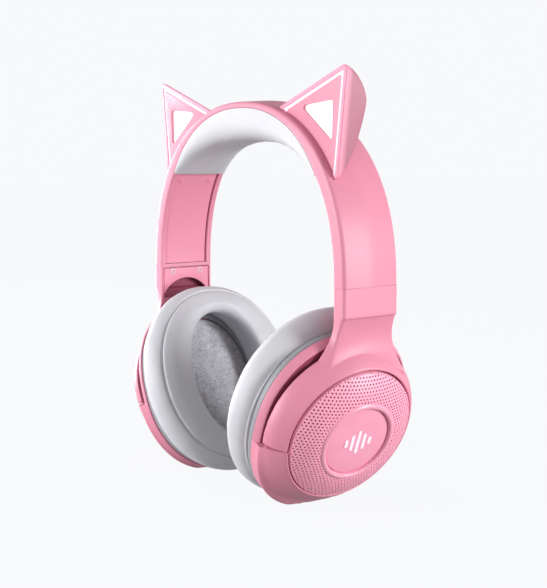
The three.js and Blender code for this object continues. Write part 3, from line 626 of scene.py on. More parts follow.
# ---------------------------------------------------------------- headband
def headband_shell():
    half = BAND_WIDTH / 2
    channel = half - BAND_RIM

    def section(share):
        deep = rim_depth(share)
        corners = [
            (0, -0.75), (half, 0.35), (half, deep), (channel, deep), (channel, BAND_WALL),
            (-channel, BAND_WALL), (-channel, deep), (-half, deep), (-half, 0.35),
        ]
        return rounded(corners, [30, 2.0, 0.8, 0.5, 0.6, 0.6, 0.5, 0.8, 2.0])

    shell = along_band("headband_outer", section, 0, 1, 160)
    shell.data.transform(TO_SEAM)
    shown(shell, "headband", "headband_outer_shell", PINK)
    smooth(shell)


def headband_cushion():
    """The pad: flush with the band at the front and rear, full in the middle, thin at its ends."""
    half = BAND_WIDTH / 2 - 0.1
    across = 40
    start, end = PAD_END, 1 - PAD_END
    power = 2 / 3.4

    def section(share):
        shoulder = rim_depth(share) + 0.05
        thick = PAD_END_THICKNESS + (PAD_THICKNESS - PAD_END_THICKNESS) * crown(share)
        points = []
        for i in range(across + 1):
            angle = math.pi * i / across
            c, s = math.cos(angle), math.sin(angle)
            y = half * math.copysign(abs(c) ** power, c)
            depth = shoulder + thick * s ** power
            spot = Vector((y * 0.16, share * 26, depth * 0.12))
            ruck = noise.noise(spot) * 0.45 * min(1.0, thick / 6)
            points.append((y * (1 - 0.02 * s), depth + ruck * s))
        inner = half - BAND_RIM - 0.6
        top = BAND_WALL + 4 * GAP
        return points + [(-inner, shoulder - 0.4), (-inner, top), (inner, top), (inner, shoulder - 0.4)]

    pad = along_band("headband_cushion", section, start, end, 120)
    pad.data.transform(TO_SEAM)
    shown(pad, "headband", "headband_pad", LEATHER)
    smooth(pad, 50)


def inner_panels():
    half = BAND_WIDTH / 2 - BAND_RIM - GAP

    def section(_share):
        corners = [
            (-half, PANEL_TOP), (-half, PANEL_TOP + PANEL_THICKNESS),
            (half, PANEL_TOP + PANEL_THICKNESS), (half, PANEL_TOP),
        ]
        return rounded(corners, [0.2, 0.7, 0.7, 0.2])

    panel = along_band("inner_strip", section, 0.0005, PAD_END - 0.001, 60)
    for made in on_both_sides(panel, TO_SEAM, "headband", "inner_panel", PINK_DEEP):
        smooth(made)


# ---------------------------------------------------------------- cat ears
EAR_HEAVY = EAR_TIP - Vector((1.5, 17.0))  # where the ear is thickest


def ear_outline(inset, radius, steps=8):
    inner = EAR_TIP - Vector((EAR_WIDTH, EAR_FALL))
    rooted = EAR_TIP - Vector((EAR_LEAN + 14, EAR_LENGTH + 2))
    lower = EAR_TIP - Vector((EAR_LEAN, EAR_LENGTH))
    top_edge = (inner - EAR_TIP).normalized()
    outer_edge = (lower - EAR_TIP).normalized()
    half = top_edge.angle(outer_edge) / 2
    middle = (top_edge + outer_edge).normalized()
    moved = EAR_TIP + middle * (inset / math.sin(half))
    points = [
        moved,
        moved + top_edge * ((inner - EAR_TIP).length - inset * 3.5),
        rooted - middle * (inset * 2),
        moved + outer_edge * ((lower - EAR_TIP).length - inset),
    ]
    return rounded(points, [radius] * 4, steps)


def ear_spot(x, z, depth):
    """A point of the ear's outline at a depth behind its front, drawn in as the rounded back is."""
    share = max(depth, 0) / EAR_THICKNESS
    scale = (1 - share ** 1.6) ** 0.65
    spot = EAR_HEAVY + (Vector((x, z)) - EAR_HEAVY) * scale
    return Vector((spot.x, EAR_FRONT + depth, spot.y))


def ear_body(name, rows, radius):
    """A closed ear shape from (inset, depth) rows."""
    outlines = [ear_outline(inset, radius) for inset, _ in rows]
    count = len(outlines[0])

    def place(column, row):
        x, z = outlines[row][column % count]
        return ear_spot(x, z, rows[row][1])
    return formed(name, count, len(rows) - 1, place)


def band_room(room):
    """The headband and what is inside its arch, grown by room."""
    half = BAND_WIDTH / 2 + room
    deep = BAND_DEPTH * 4
    section = [
        (-half, deep), (-half, 1.2), (-half + 1.4, -room), (half - 1.4, -room), (half, 1.2), (half, deep),
    ]
    return along_band("band_room", lambda share: section, 0.02, 0.98, 120)


def window_outline(grow, steps=6):
    corners = [EAR_TIP - Vector(corner) for corner in EAR_WINDOW]
    centre = sum(corners, Vector((0, 0))) / 3
    return rounded([c + (c - centre).normalized() * grow for c in corners], [2.0] * 3, steps)


def ears():
    room = band_room(0.0)
    steps = 16
    depths = [EAR_THICKNESS * math.sin(math.pi / 2 * i / steps) for i in range(1, steps)]
    shell = ear_body("ear_back", [(0.35, 0), (0, 0.35), *[(0, depth) for depth in depths]], 3.0)
    pocket = ear_body("ear_pocket", [(EAR_RIM, -1), (EAR_RIM, 0.3), (EAR_RIM + 0.2, EAR_POCKET * 0.6)], 1.4)
    cut_by(shell, pocket, room)
    # the ear's back gets painted shade from its finish
    for made in on_both_sides(shell, TO_SEAM, "headband", "ear_shell", EAR_PINK_SHADED_BACK):
        smooth(made, 32)

    edge = EAR_RIM + EAR_STRIP
    rows = [(edge, 2.0), (edge, 0.7), (edge + 0.1, 0.42), (edge + 0.4, 0.3)]
    plate = ear_body("ear_front", rows, 1.4)
    hole = slab("hole", window_outline(0), -30, 30, lambda x, z, y: Vector((x, y, z)))
    cut_by(plate, hole, room)
    for made in on_both_sides(plate, TO_SEAM, "headband", "ear_panel", PINK):
        smooth(made, 32)

    strip = ear_body("ear_glow", [(EAR_RIM - 0.1, 3.3), (EAR_RIM - 0.1, STRIP_DEPTH)], 1.4)
    inside = slab("inside", window_outline(0.5), -30, 30, lambda x, z, y: Vector((x, y, z)))
    cut_by(strip, inside, room)
    for made in on_both_sides(strip, TO_SEAM, "headband", "ear_diffuser", STRIP_LIT):
        smooth(made)
    pane = slab(
        "pane", window_outline(0.4), EAR_FRONT + WINDOW_DEPTH, EAR_FRONT + WINDOW_DEPTH + 1.5,
        lambda x, z, y: Vector((x, y, z)),
    )
    for side, flip in SIDES:
        added(pane, f"ear_window_{side}", flip @ TO_SEAM, "headband", WHITE_LIT)
    dropped(pocket, hole, room, inside, pane)


# ---------------------------------------------------------------- ear cups
def oval_reach(angle, front, up, squareness):
    """How far an oval reaches at an angle from the top towards the rear."""
    s, c = abs(math.sin(angle)), abs(math.cos(angle))
    return ((s / front) ** squareness + (c / up) ** squareness) ** (-1 / squareness)


def cup_spot(angle, radius, level, lower=0.0):
    return Vector((radius * math.sin(angle), radius * math.cos(angle) - lower, level))


def eased(knots, count):
    """Points on a smooth open curve through (radius, level) knots."""
    made = []
    for i in range(count + 1):
        t = i / count * (len(knots) - 1)
        k = min(int(t), len(knots) - 2)
        part = t - k
        before, a, b, after = (Vector(knots[min(max(k + d, 0), len(knots) - 1)]) for d in (-1, 0, 1, 2))
        made.append(
            a + (b - before) * (part / 2)
            + (before * 2 - a * 5 + b * 4 - after) * (part ** 2 / 2)
            + (a * 3 - before - b * 3 + after) * (part ** 3 / 2)
        )
    return made


FLARE = [(1.0, 0.0), (2.2, -0.9), (4.2, -3.2), (6.3, -6.3), (7.5, -9.5), (8.1, -12.0)]
LIP_EDGE = [(-2.6, FLANGE_LEVEL), (-0.8, FLANGE_LEVEL), (-0.25, FLANGE_LEVEL + 0.25), (0, FLANGE_LEVEL + 0.8)]
LIP_TOP = LIP_LEVEL - 0.1
LIP_DRAW = 1.4  # how far the lip is drawn in at its top edge


def cup_housings():
    """The oval lip, the neck under the yoke and, below the yoke's ends, the flare up to the grille."""
    wall_angle = COLLAR_HALF_ANGLE + 0.75
    steps = [2.5 * i for i in range(int(wall_angle / 2.5) + 1)]
    below = [wall_angle + 0.5 + (180 - wall_angle - 0.5) * i / 34 for i in range(35)]
    half = [*steps, wall_angle - 0.02, wall_angle + 0.02, *below]
    angles = [*half, *[360 - a for a in reversed(half[1:-1])], 360]

    def yoked(lip):
        neck = NECK_RADIUS
        edge = lip - LIP_DRAW
        rim = [
            (lip - 0.5, LIP_TOP - 2.4), (edge, LIP_TOP - 0.7),
            (edge - 0.3, LIP_TOP - 0.2), (edge - 0.8, LIP_TOP),
        ]
        floor = [(edge + (neck + 1 - edge) * i / 6, LIP_TOP) for i in range(1, 7)]
        wall = [(neck, LIP_TOP + 0.6 + (-2.2 - LIP_TOP) * i / 13) for i in range(14)]
        return [*rim, *floor, *wall, (neck, -1.6), (neck - 0.1, -1.6), (neck - 1.5, -1.6), (neck - 1.5, -4)]

    def chin(lip):
        knots = [(lip - 0.5, LIP_TOP)]
        for out, level in reversed(FLARE):
            share = level / COLLAR_BOTTOM
            radius = GRILLE_RADIUS + out
            knots.append((radius + (lip - radius) * share ** 4, level))
        body = eased(knots, 24)
        return [*body, (GRILLE_RADIUS + 0.3, -0.35), (GRILLE_RADIUS + 0.1, -1.6), (GRILLE_RADIUS - 2, -4)]

    profiles = []
    for angle in angles:
        turn = math.radians(angle)
        lip = oval_reach(turn, LIP_FRONT, LIP_UP, LIP_SQUARENESS)
        under_yoke = min(angle, 360 - angle) < wall_angle
        profile = [(lip + inset, level) for inset, level in LIP_EDGE]
        profile += yoked(lip) if under_yoke else chin(lip)
        profiles.append(profile)
    rows = len(profiles[0]) - 1

    def place(column, row):
        radius, level = profiles[column][row]
        lower = LIP_LOWER * min(1.0, (level / COLLAR_BOTTOM) ** 2) if radius > NECK_RADIUS + 1.2 else 0.0
        return cup_spot(math.radians(angles[column]), radius, level, lower)

    housing = formed("cup_body", len(angles) - 1, rows, place)
    made = on_both_sides(housing, TO_CUP, "cup", "cup_housing", PINK, on_floor=True)
    for (_, flip), piece in zip(SIDES, made):
        smooth(piece, 40)
        # painted shade on the channel under the yoke
        darkened(piece, flip @ TO_CUP, in_the_slot)


def in_the_slot(spot, _facing):
    """Whether a spot of the cup's body is in the channel under the yoke, where it gets painted shade."""
    on_neck = LIP_TOP < spot.z < -2.0 and spot.to_2d().length < NECK_RADIUS + 0.6
    return on_neck or abs(spot.z - LIP_TOP) < 0.05


def darkened(piece, lay, chosen):
    """Gives the faces that are chosen, by their place and direction in a frame, painted shade: a darker copy of
    the pink.
    """
    piece.data.materials.append(PINK_PAINTED_SHADE)
    back = lay.inverted()
    turn = back.to_3x3()
    for face in piece.data.polygons:
        if chosen(back @ face.center, (turn @ face.normal).normalized()):
            face.material_index = 1


def grilles():
    """Punched mesh: one hexagon with a round hole, repeated, cut to a ring and domed."""
    corner = HOLE_PITCH / math.sqrt(3)
    bpy.ops.object.select_all(action="DESELECT")
    bpy.ops.mesh.primitive_circle_add(vertices=12, radius=corner, fill_type="NGON")
    mesh = bpy.context.object
    mesh.name = "punched_dome"
    for i, vertex in enumerate(mesh.data.vertices):
        angle = math.pi * i / 6
        reach = corner if i % 2 == 0 else HOLE_PITCH / 2
        vertex.co = (reach * math.sin(angle), reach * math.cos(angle), 0)
    in_edit(
        mesh,
        (bpy.ops.mesh.inset, {"thickness": HOLE_PITCH / 2 - HOLE_RADIUS, "depth": 0}),
        (bpy.ops.mesh.delete, {"type": "FACE"}),
    )
    row_rise = HOLE_PITCH * math.sqrt(3)
    across = math.ceil(2 * GRILLE_RADIUS / HOLE_PITCH) + 2
    up = math.ceil(2 * GRILLE_RADIUS / row_rise) + 2
    offsets = {"use_relative_offset": False, "use_constant_offset": True, "use_merge_vertices": True}
    offsets["merge_threshold"] = 0.02
    applied(mesh, "ARRAY", count=2, constant_offset_displace=(HOLE_PITCH / 2, row_rise / 2, 0), **offsets)
    applied(mesh, "ARRAY", count=across, constant_offset_displace=(HOLE_PITCH, 0, 0), **offsets)
    applied(mesh, "ARRAY", count=up, constant_offset_displace=(0, row_rise, 0), **offsets)
    mesh.data.transform(Matrix.Translation((-across * HOLE_PITCH / 2, -up * row_rise / 2, 0)))
    for face in mesh.data.polygons:
        reach = face.center.length
        face.select = not RING_OUTER - 1.2 < reach < GRILLE_RADIUS - 0.45
    take(mesh)
    bpy.ops.object.mode_set(mode="EDIT")
    bpy.ops.mesh.select_mode(type="FACE")
    bpy.ops.mesh.delete(type="FACE")
    bpy.ops.object.mode_set(mode="OBJECT")
    for vertex in mesh.data.vertices:
        vertex.co.z = dome_level(vertex.co.to_2d().length)
    applied(mesh, "SOLIDIFY", thickness=0.5, offset=-1.0)
    rim = spun("grille_rim", [
        (GRILLE_RADIUS - 1.1, dome_level(GRILLE_RADIUS - 1.1) + 0.02),
        (GRILLE_RADIUS - 0.7, dome_level(GRILLE_RADIUS - 0.7) + 0.2),
        (GRILLE_RADIUS - 0.1, -0.1), (GRILLE_RADIUS - 0.1, -1.5), (GRILLE_RADIUS - 1.1, -1.2),
    ])
    take(rim)
    mesh.select_set(True)
    bpy.context.view_layer.objects.active = mesh
    bpy.ops.object.join()
    for made in on_both_sides(mesh, TO_CUP, "cup", "speaker_grille", PUNCHED):
        smooth(made, 30)

    lining = spun("grille_lining", [
        *[(radius, dome_level(radius) - 0.9) for radius in LINING_RADII],
        *[(radius, dome_level(radius) - 1.3) for radius in reversed(LINING_RADII)],
    ])
    for side, flip in SIDES:
        added(lining, f"grille_lining_{side}", flip @ TO_CUP, f"cup_{side}", LINING)
    dropped(lining)


LINING_RADII = (20.5, 23.5, 26.5, 29.5, 32.0, 33.8)


def dome_level(radius):
    inner, outer = RING_OUTER - 0.6, GRILLE_RADIUS - 0.2
    share = min(max((radius - inner) / (outer - inner), 0.0), 1.0)
    return GRILLE_RISE * (1 - share ** 1.5)


def badges():
    ring = spun("badge_ring", [
        (RING_INNER, 1.0), (RING_INNER, RING_TOP - 1.0), (RING_INNER + 0.2, RING_TOP - 0.45),
        (RING_INNER + 0.6, RING_TOP - 0.12), (RING_INNER + 1.2, RING_TOP), (RING_INNER + 1.8, RING_TOP - 0.08),
        (RING_OUTER - 0.9, RING_TOP - 0.4), (RING_OUTER - 0.4, RING_TOP - 0.85),
        (RING_OUTER - 0.05, RING_TOP - 1.5), (RING_OUTER, GRILLE_RISE - 0.3), (RING_OUTER - 0.2, 3.0),
        (RING_OUTER - 1.2, 1.0),
    ])
    for made in on_both_sides(ring, TO_CUP, "cup", "badge_ring", PINK_BRIGHT):
        smooth(made, 45)

    edge = RING_INNER - GAP
    disc = disc_turned("badge_disc", [
        (0, RING_TOP - 3.2), (edge, RING_TOP - 3.2), (edge, RING_TOP - 1.9), (edge - 0.3, RING_TOP - 1.65),
        (edge - 1.0, RING_TOP - 1.5), (edge * 0.75, RING_TOP - 1.2), (edge * 0.5, RING_TOP - 1.0),
        (edge * 0.25, RING_TOP - 0.88), (0, RING_TOP - 0.84),
    ])
    for made in on_both_sides(disc, TO_CUP, "cup", "badge_disc", BADGE_LIT):
        smooth(made, 45)


def badge_marks():
    """A generic lit mark: five rounded bars like a sound level."""
    heights = (4.0, 8.5, 12.5, 8.5, 4.0)
    width, pitch = 1.7, 3.4
    bars = []
    for i, height in enumerate(heights):
        outline = rounded([
            (-width / 2, -height / 2), (width / 2, -height / 2), (width / 2, height / 2), (-width / 2, height / 2),
        ], [width / 2] * 4, 4)
        shift = (i - 2) * pitch
        bars.append(slab(
            "bar", outline, 4.6, RING_TOP - 0.62, lambda x, y, z, shift=shift: Vector((x + shift, y, z)),
        ))
    take(bars[0])
    for bar in bars:
        bar.select_set(True)
    bpy.ops.object.join()
    mark = bars[0]
    for side, flip in SIDES:
        added(mark, f"badge_mark_{side}", flip @ TO_CUP, f"cup_{side}", MARK_LIT)
    dropped(mark)


def flanges():
    def section(lip):
        corners = [
            (CUSHION_OPEN_FRONT + 6, FLANGE_LEVEL - GAP), (lip, FLANGE_LEVEL - GAP),
            (lip, FLANGE_LEVEL - GAP - FLANGE_THICKNESS), (CUSHION_OPEN_FRONT + 6, CUSHION_LEVEL + GAP),
        ]
        return corners

    def place(column, row):
        angle = 2 * math.pi * column / ROUND
        lip = oval_reach(angle, LIP_FRONT - 0.6, LIP_UP - 0.6, LIP_SQUARENESS)
        hole = oval_reach(angle, 29, 37.5, CUSHION_SQUARENESS)
        top, bottom = FLANGE_LEVEL - GAP, FLANGE_LEVEL - GAP - FLANGE_THICKNESS
        ring = rounded([(hole, top), (lip, top), (lip, bottom), (hole, bottom)], [0.3, 0.8, 0.8, 0.3], 3)
        radius, level = ring[row % len(ring)]
        return cup_spot(angle, radius, level, LIP_LOWER)

    flange = formed("cushion_ring", ROUND, 16, place)
    for made in on_both_sides(flange, TO_CUP, "cup", "cushion_flange", GREY, on_floor=True):
        smooth(made)


# (share of the thickness, on the outside, how far in from the widest or out from the opening)
CUSHION_KNOTS = (
    (0.0, False, 4.5), (0.0, True, 6.1), (0.05, True, 4.0), (0.16, True, 1.7), (0.32, True, 0.35),
    (0.5, True, 0.1), (0.68, True, 1.6), (0.82, True, 4.4), (0.93, True, 8.2), (1.0, True, 12.6),
    (0.985, False, 2.8), (0.88, False, 0.4), (0.7, False, 0.0), (0.4, False, 2.2),
)
CUSHION_ROWS = 84
SEAM_KNOT = 7.1  # where along the knots the sewn seam runs
SEAM_DEPTH = 1.0


def cushion_spot(angle, knot):
    """A point of the ear cushion's surface, at a place along its knots."""
    count = len(CUSHION_KNOTS)
    k = int(knot) % count
    part = knot - int(knot)
    spots = []
    for step in (-1, 0, 1, 2):
        share, outside, inset = CUSHION_KNOTS[(k + step) % count]
        if outside:
            radius = oval_reach(
                angle, LIP_FRONT + CUSHION_OVERHANG - inset, LIP_UP + CUSHION_OVERHANG - inset, CUSHION_SQUARENESS,
            )
            lower = LIP_LOWER * (1 - share)
        else:
            radius = oval_reach(angle, CUSHION_OPEN_FRONT + inset, CUSHION_OPEN_UP + inset, CUSHION_SQUARENESS)
            lower = 0.0
        spots.append(cup_spot(angle, radius, CUSHION_LEVEL - CUSHION_THICKNESS * share, lower))
    before, a, b, after = spots
    spot = (
        a + (b - before) * (part / 2)
        + (before * 2 - a * 5 + b * 4 - after) * (part ** 2 / 2)
        + (a * 3 - before - b * 3 + after) * (part ** 3 / 2)
    )
    middle = oval_reach(angle, 36, 45, CUSHION_SQUARENESS)
    inwards = cup_spot(angle, middle, CUSHION_LEVEL - CUSHION_THICKNESS * 0.5) - spot
    seam = math.exp(-((knot - SEAM_KNOT) / 0.14) ** 2) * SEAM_DEPTH
    swell = noise.noise(spot * 0.06) * 0.5
    ruck = noise.noise(Vector((angle * 9, knot * 0.7, 3.0))) * 0.28
    free = 1.0 if 1.5 < knot < 13.2 else 0.0
    return spot + inwards.normalized() * (seam - (swell + ruck) * free * 0.6)


def ear_cushions():
    base = [len(CUSHION_KNOTS) * i / CUSHION_ROWS for i in range(CUSHION_ROWS)]
    near_seam = [SEAM_KNOT + 0.05 * i for i in range(-4, 5)]
    knots = sorted([k for k in base if abs(k - SEAM_KNOT) > 0.24] + near_seam)
    columns = 144

    def place(column, row):
        return cushion_spot(2 * math.pi * (column % columns) / columns, knots[row % len(knots)])

    cushion = formed("leather_ring", columns, len(knots), place)
    for made in on_both_sides(cushion, TO_CUP, "cup", "ear_cushion", LEATHER):
        smooth(made, 60)


def ear_cloths():
    """The cloth over the speaker, drawn in round its edge and slightly slack."""
    rings = 18
    level = FLANGE_LEVEL - 2 * GAP

    def place(column, row):
        angle = 2 * math.pi * column / ROUND
        if row > rings:
            reach, drop = 1.0, 0.0
        else:
            reach = row / rings
            drop = -1.6 - 1.4 * (1 - reach ** 2)
        radius = oval_reach(angle, 28, 36.5, CUSHION_SQUARENESS) * reach
        slack = noise.noise(Vector((radius * math.sin(angle), radius * math.cos(angle), 7.0)) * 0.12) * 0.5
        return cup_spot(angle, radius, level + drop + slack * (1 - reach), LIP_LOWER * reach)

    cloth = formed("speaker_cloth", ROUND, rings + 1, place)
    for made in on_both_sides(cloth, TO_CUP, "cup", "acoustic_cloth", CLOTH):
        smooth(made, 60)


# ---------------------------------------------------------------- yokes
def arm_end(y, radius, level):
    """Where the arm runs into the collar, at a distance y from the arm's middle: (x, z)."""
    lean = math.asin(y / radius)
    spot = CUP_IN_SEAM @ cup_spot(lean, radius, level)
    return Vector((spot.x, spot.z))


def bent(start, pull, end, share):
    return start.lerp(pull, share).lerp(pull.lerp(end, share), share)


ARM_ROWS = 30
ARM_STEP_ROW = 6
ARM_TOP = 3.0  # above the seam, cut off again once the arm has been rounded


def arm_faces(row, y):
    """The arm's outer and inner faces at a row, from above the seam to the collar: two (x, z) points."""
    inner_x = BAND_HALF_WIDTH - BAND_DEPTH
    if row <= ARM_STEP_ROW:
        z = ARM_TOP - (ARM_TOP + YOKE_STRAIGHT) * row / ARM_STEP_ROW
        return Vector((BAND_HALF_WIDTH, z)), Vector((inner_x, z))
    share = (row - ARM_STEP_ROW - 1) / (ARM_ROWS - ARM_STEP_ROW - 1)
    low = arm_end(y, GRILLE_RADIUS + 3.4, -2.4)
    step = Vector((BAND_HALF_WIDTH - 0.9, -YOKE_STRAIGHT - 0.5))
    pull = Vector((BAND_HALF_WIDTH - YOKE_SCOOP * 2.0, step.y + (low.y - step.y) * ARM_PULL))
    outer = bent(step, pull, low, share)
    inside = arm_end(y, SHOULDER - 0.6, COLLAR_BOTTOM + 0.2)
    inner = bent(Vector((inner_x, step.y)), Vector((inner_x, (step.y + inside.y) / 2)), inside, share)
    return outer, inner


def yoke_arm():
    half = BAND_WIDTH / 2

    def place(column, row):
        share = max(0.0, (row - ARM_STEP_ROW - 1) / (ARM_ROWS - ARM_STEP_ROW - 1))
        spread = 1 + ARM_SPREAD * share ** 2.4
        corners = [(-half, 0), (half, 0), (half, BAND_DEPTH), (-half, BAND_DEPTH)]
        loop = rounded(corners, [1.8, 1.8, 0.8, 0.8], 4)
        loop = [*loop[:5], *[loop[4].lerp(loop[5], i / 12) for i in range(1, 12)], *loop[5:15],
                *[loop[14].lerp(loop[15], i / 12) for i in range(1, 12)], *loop[15:]]
        y, depth = loop[column % len(loop)]
        outer, inner = arm_faces(row, y * spread)
        spot = outer.lerp(inner, depth / BAND_DEPTH)
        return Vector((spot.x, y * spread, spot.y))

    return formed("yoke", 42, ARM_ROWS, place)


def yokes():
    half = BAND_WIDTH / 2
    inner = BAND_HALF_WIDTH - BAND_DEPTH
    arm = yoke_arm()
    skin = Vector((ARM_SKIN, 0))
    face = [arm_faces(row, 0)[0] - skin for row in range(ARM_STEP_ROW + 1, ARM_ROWS + 1)]
    pocket = slab("pocket", [
        Vector((inner - 10, -2.3)), Vector((BAND_HALF_WIDTH - 2, -2.3)),
        Vector((BAND_HALF_WIDTH - 2, -YOKE_STRAIGHT)), *face, Vector((inner - 10, face[-1].y)),
    ], -half + YOKE_SIDE, half - YOKE_SIDE, lambda x, z, y: Vector((x, y, z)))
    bore = disc_turned("bore", [(0, -60), (GRILLE_RADIUS + 0.8, -60), (GRILLE_RADIUS + 0.8, 60), (0, 60)])
    bore.data.transform(CUP_IN_SEAM)
    cut_by(arm, pocket, bore)

    radius = GRILLE_RADIUS
    outside = eased([(radius + out, level) for out, level in FLARE[1:-1]] + [(SHOULDER, COLLAR_BOTTOM)], 16)
    collar = collar_strip([
        (radius + 0.8, -0.9), (radius + 1.0, -0.5), (radius + 1.5, -0.35), *outside,
        (SHOULDER - COLLAR_WALL, COLLAR_BOTTOM), (SHOULDER - COLLAR_WALL - 0.5, -9.4),
        (radius + 3.8, -6.4), (radius + 2.0, -4.4), (radius + 0.8, -3.6),
    ])
    collar.data.transform(CUP_IN_SEAM)
    joined_with(arm, collar)
    take(arm)
    arm.data.remesh_voxel_size = 0.45
    bpy.ops.object.voxel_remesh()
    applied(arm, "SMOOTH", factor=0.5, iterations=5)
    in_edit(arm, (bpy.ops.mesh.bisect, {
        "plane_co": (0, 0, -0.12), "plane_no": (0, 0, 1), "use_fill": True, "clear_outer": True,
    }))
    made = on_both_sides(arm, TO_SEAM, "yoke", "yoke_shell", PINK)
    for (_, flip), piece in zip(SIDES, made):
        smooth(piece, 50)
        # painted shade in the yoke's hollow and on the collar's inner wall
        darkened(piece, flip @ TO_SEAM, inside_the_yoke)
    dropped(pocket, bore)


def inside_the_yoke(spot, facing):
    """Whether a spot of the yoke is in its hollow or on the collar's inner wall, where it gets painted shade."""
    deep = spot.x > BAND_HALF_WIDTH - BAND_DEPTH + COVER_THICKNESS + 0.5
    between = abs(spot.y) < BAND_WIDTH / 2 - YOKE_SIDE + 0.1
    in_hollow = deep and between and spot.z < -ARCH_CUT_APEX and facing.x < 0.2
    cup = CUP_IN_SEAM.inverted() @ spot
    turned = CUP_IN_SEAM.to_3x3().inverted() @ facing
    reach = cup.to_2d().length
    on_wall = reach < SHOULDER + 0.4 and cup.z < -3.6 and cup.to_2d().dot(turned.to_2d()) < -0.2 * reach
    return in_hollow or on_wall


def collar_strip(profile):
    columns = 110
    count = len(profile)

    def place(column, row):
        angle = math.radians(COLLAR_HALF_ANGLE * (2 * column / columns - 1))
        radius, level = profile[row % count]
        return cup_spot(angle, radius, level)

    return formed("collar", columns, count, place)


def yoke_covers():
    """The cover on the head's side, with its arched lower edge and two screws."""
    half = BAND_WIDTH / 2 - YOKE_SIDE - GAP
    near = BAND_HALF_WIDTH - BAND_DEPTH + 0.25
    centre = -ARCH_CUT_APEX - ARCH_CUT_RADIUS
    steps = 24
    limit = math.asin(half / ARCH_CUT_RADIUS)
    arc = []
    for i in range(steps + 1):
        angle = limit - 2 * limit * i / steps
        arc.append(Vector((ARCH_CUT_RADIUS * math.sin(angle), centre + ARCH_CUT_RADIUS * math.cos(angle))))
    outline = [Vector((-half, -2.6)), Vector((half, -2.6)), *arc]
    cover = slab("yoke_plate", outline, near, near + COVER_THICKNESS, lambda y, z, x: Vector((x, y, z)))
    applied(cover, "BEVEL", width=0.35, segments=3, limit_method="ANGLE", angle_limit=math.radians(40))
    for made in on_both_sides(cover, TO_SEAM, "yoke", "yoke_cover", PINK_DEEP):
        smooth(made)
    for end, y in (("front", -SCREW_SPREAD), ("rear", SCREW_SPREAD)):
        head = disc_turned(f"screw_{end}", [
            (0, 1.5), (2.0, 1.5), (2.0, 0.25), (1.8, 0.05), (1.4, 0.0), (0.95, 0.0), (0.8, 0.6), (0, 0.7),
        ], 6 * 4)
        head.data.transform(
            Matrix.Translation((near - 0.25, y, -SCREW_BELOW)) @ Matrix.Rotation(math.pi / 2, 4, "Y")
        )
        for made in on_both_sides(head, TO_SEAM, "yoke", f"cover_screw_{end}", SCREW):
            smooth(made)


# ---------------------------------------------------------------- finishes of the CAD nodes that stay
KEPT_FINISHES = {
    "headband_spring": STEEL, "headband_pad_base": DARK, "cup_link_wire": DARK, "slider_track": DARK,
    "detent_spring": STEEL, "slider_plate": STEEL, "panel_plug_front": PINK_DEEP, "panel_plug_rear": PINK_DEEP,
    "ear_led_board": BOARD, "pivot_pin_front": STEEL, "pivot_pin_rear": STEEL, "baffle": DARK, "driver": DARK,
    "circuit_board": BOARD, "battery": WRAP, "power_button": PINK_DEEP, "charge_port": STEEL, "microphone": DARK,
}


def finish_kept_nodes():
    for name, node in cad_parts.items():
        family = name.removesuffix("_left").removesuffix("_right")
        if family in KEPT_FINISHES:
            node.data.materials.clear()
            node.data.materials.append(KEPT_FINISHES[family])


# ---------------------------------------------------------------- floor, light and camera
FLOOR_GLOW = 0.985
# how bright the surroundings are, from straight down (0) by the horizon (0.5) to straight up (1)
SKY = ((0.0, 0.34), (0.44, 0.42), (0.485, 1.0), (0.57, 1.0), (0.64, 0.5), (1.0, 0.34))


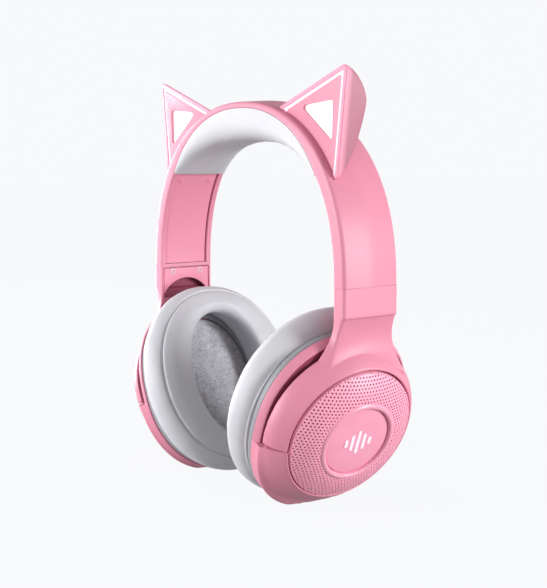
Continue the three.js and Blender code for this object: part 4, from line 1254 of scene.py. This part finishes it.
def set_stage():
    bpy.ops.object.select_all(action="DESELECT")
    bpy.ops.mesh.primitive_plane_add(size=14, location=(0, 0, -0.0002))
    floor = bpy.context.object
    floor.name = "floor"
    pale = shade(248, 249, 251, 1)
    paint = Paint("pale_floor", Roughness=1.0, Specular_IOR_Level=0.0, Emission_Strength=FLOOR_GLOW)
    paint.shader.inputs["Base Color"].default_value = (0.02, 0.02, 0.02, 1)
    paint.shader.inputs["Emission Color"].default_value = pale
    floor.data.materials.append(paint.material)

    floor.visible_diffuse = False
    floor.visible_glossy = False
    world = bpy.context.scene.world or bpy.data.worlds.new("studio")
    bpy.context.scene.world = world
    world.use_nodes = True
    tree = world.node_tree
    place = tree.nodes.new("ShaderNodeTexCoord")
    split = tree.nodes.new("ShaderNodeSeparateXYZ")
    height = tree.nodes.new("ShaderNodeMapRange")
    height.inputs["From Min"].default_value = -1.0
    ramp = tree.nodes.new("ShaderNodeValToRGB")
    while len(ramp.color_ramp.elements) < len(SKY):
        ramp.color_ramp.elements.new(1.0)
    for stop, (position, strength) in zip(ramp.color_ramp.elements, SKY):
        stop.position = position
        stop.color = shade(248, 249, 251, strength)
    tree.links.new(place.outputs["Generated"], split.inputs[0])
    tree.links.new(split.outputs[2], height.inputs["Value"])
    tree.links.new(height.outputs[0], ramp.inputs[0])
    tree.links.new(ramp.outputs[0], tree.nodes["Background"].inputs["Color"])


def soft_light(name, place, aim, size, power, colour=(1, 1, 1)):
    bpy.ops.object.select_all(action="DESELECT")
    bpy.ops.object.light_add(type="AREA", location=place)
    lamp = bpy.context.object
    lamp.name = name
    lamp.data.shape = "RECTANGLE"
    lamp.data.size, lamp.data.size_y = size
    lamp.data.energy = power
    lamp.data.color = colour
    lamp.rotation_euler = (Vector(aim) - Vector(place)).to_track_quat("-Z", "Y").to_euler()


CAMERA_LENS = 67.88142857  # focal length on a sensor 36 mm wide


def set_camera():
    azimuth, elevation, distance = math.radians(52.888), math.radians(6.764), 574.68 * MM
    target = Vector((7.618, 0, 100.8)) * MM
    back = Vector((
        math.sin(azimuth) * math.cos(elevation), -math.cos(azimuth) * math.cos(elevation), math.sin(elevation),
    ))
    bpy.ops.object.camera_add(location=target + back * distance)
    camera = bpy.context.object
    camera.rotation_euler = back.to_track_quat("Z", "Y").to_euler()
    camera.data.sensor_width = 36
    camera.data.lens = CAMERA_LENS
    camera.data.clip_start = 0.01
    bpy.context.scene.camera = camera
    bpy.context.scene.view_settings.view_transform = "Standard"


set_camera()
set_stage()
soft_light("left_key", (-0.45, -1.05, 0.26), (0.02, 0, 0.08), (0.45, 0.6), 15)
soft_light("right_rim", (0.9, 0.45, 0.24), (0.06, 0, 0.09), (0.25, 0.5), 10)
soft_light("far_edge", (-1.0, -0.15, 0.15), (-0.08, 0, 0.08), (0.3, 0.5), 8)

headband_shell()
headband_cushion()
inner_panels()
ears()
cup_housings()
grilles()
badges()
badge_marks()
flanges()
ear_cushions()
ear_cloths()
yokes()
yoke_covers()
finish_kept_nodes()
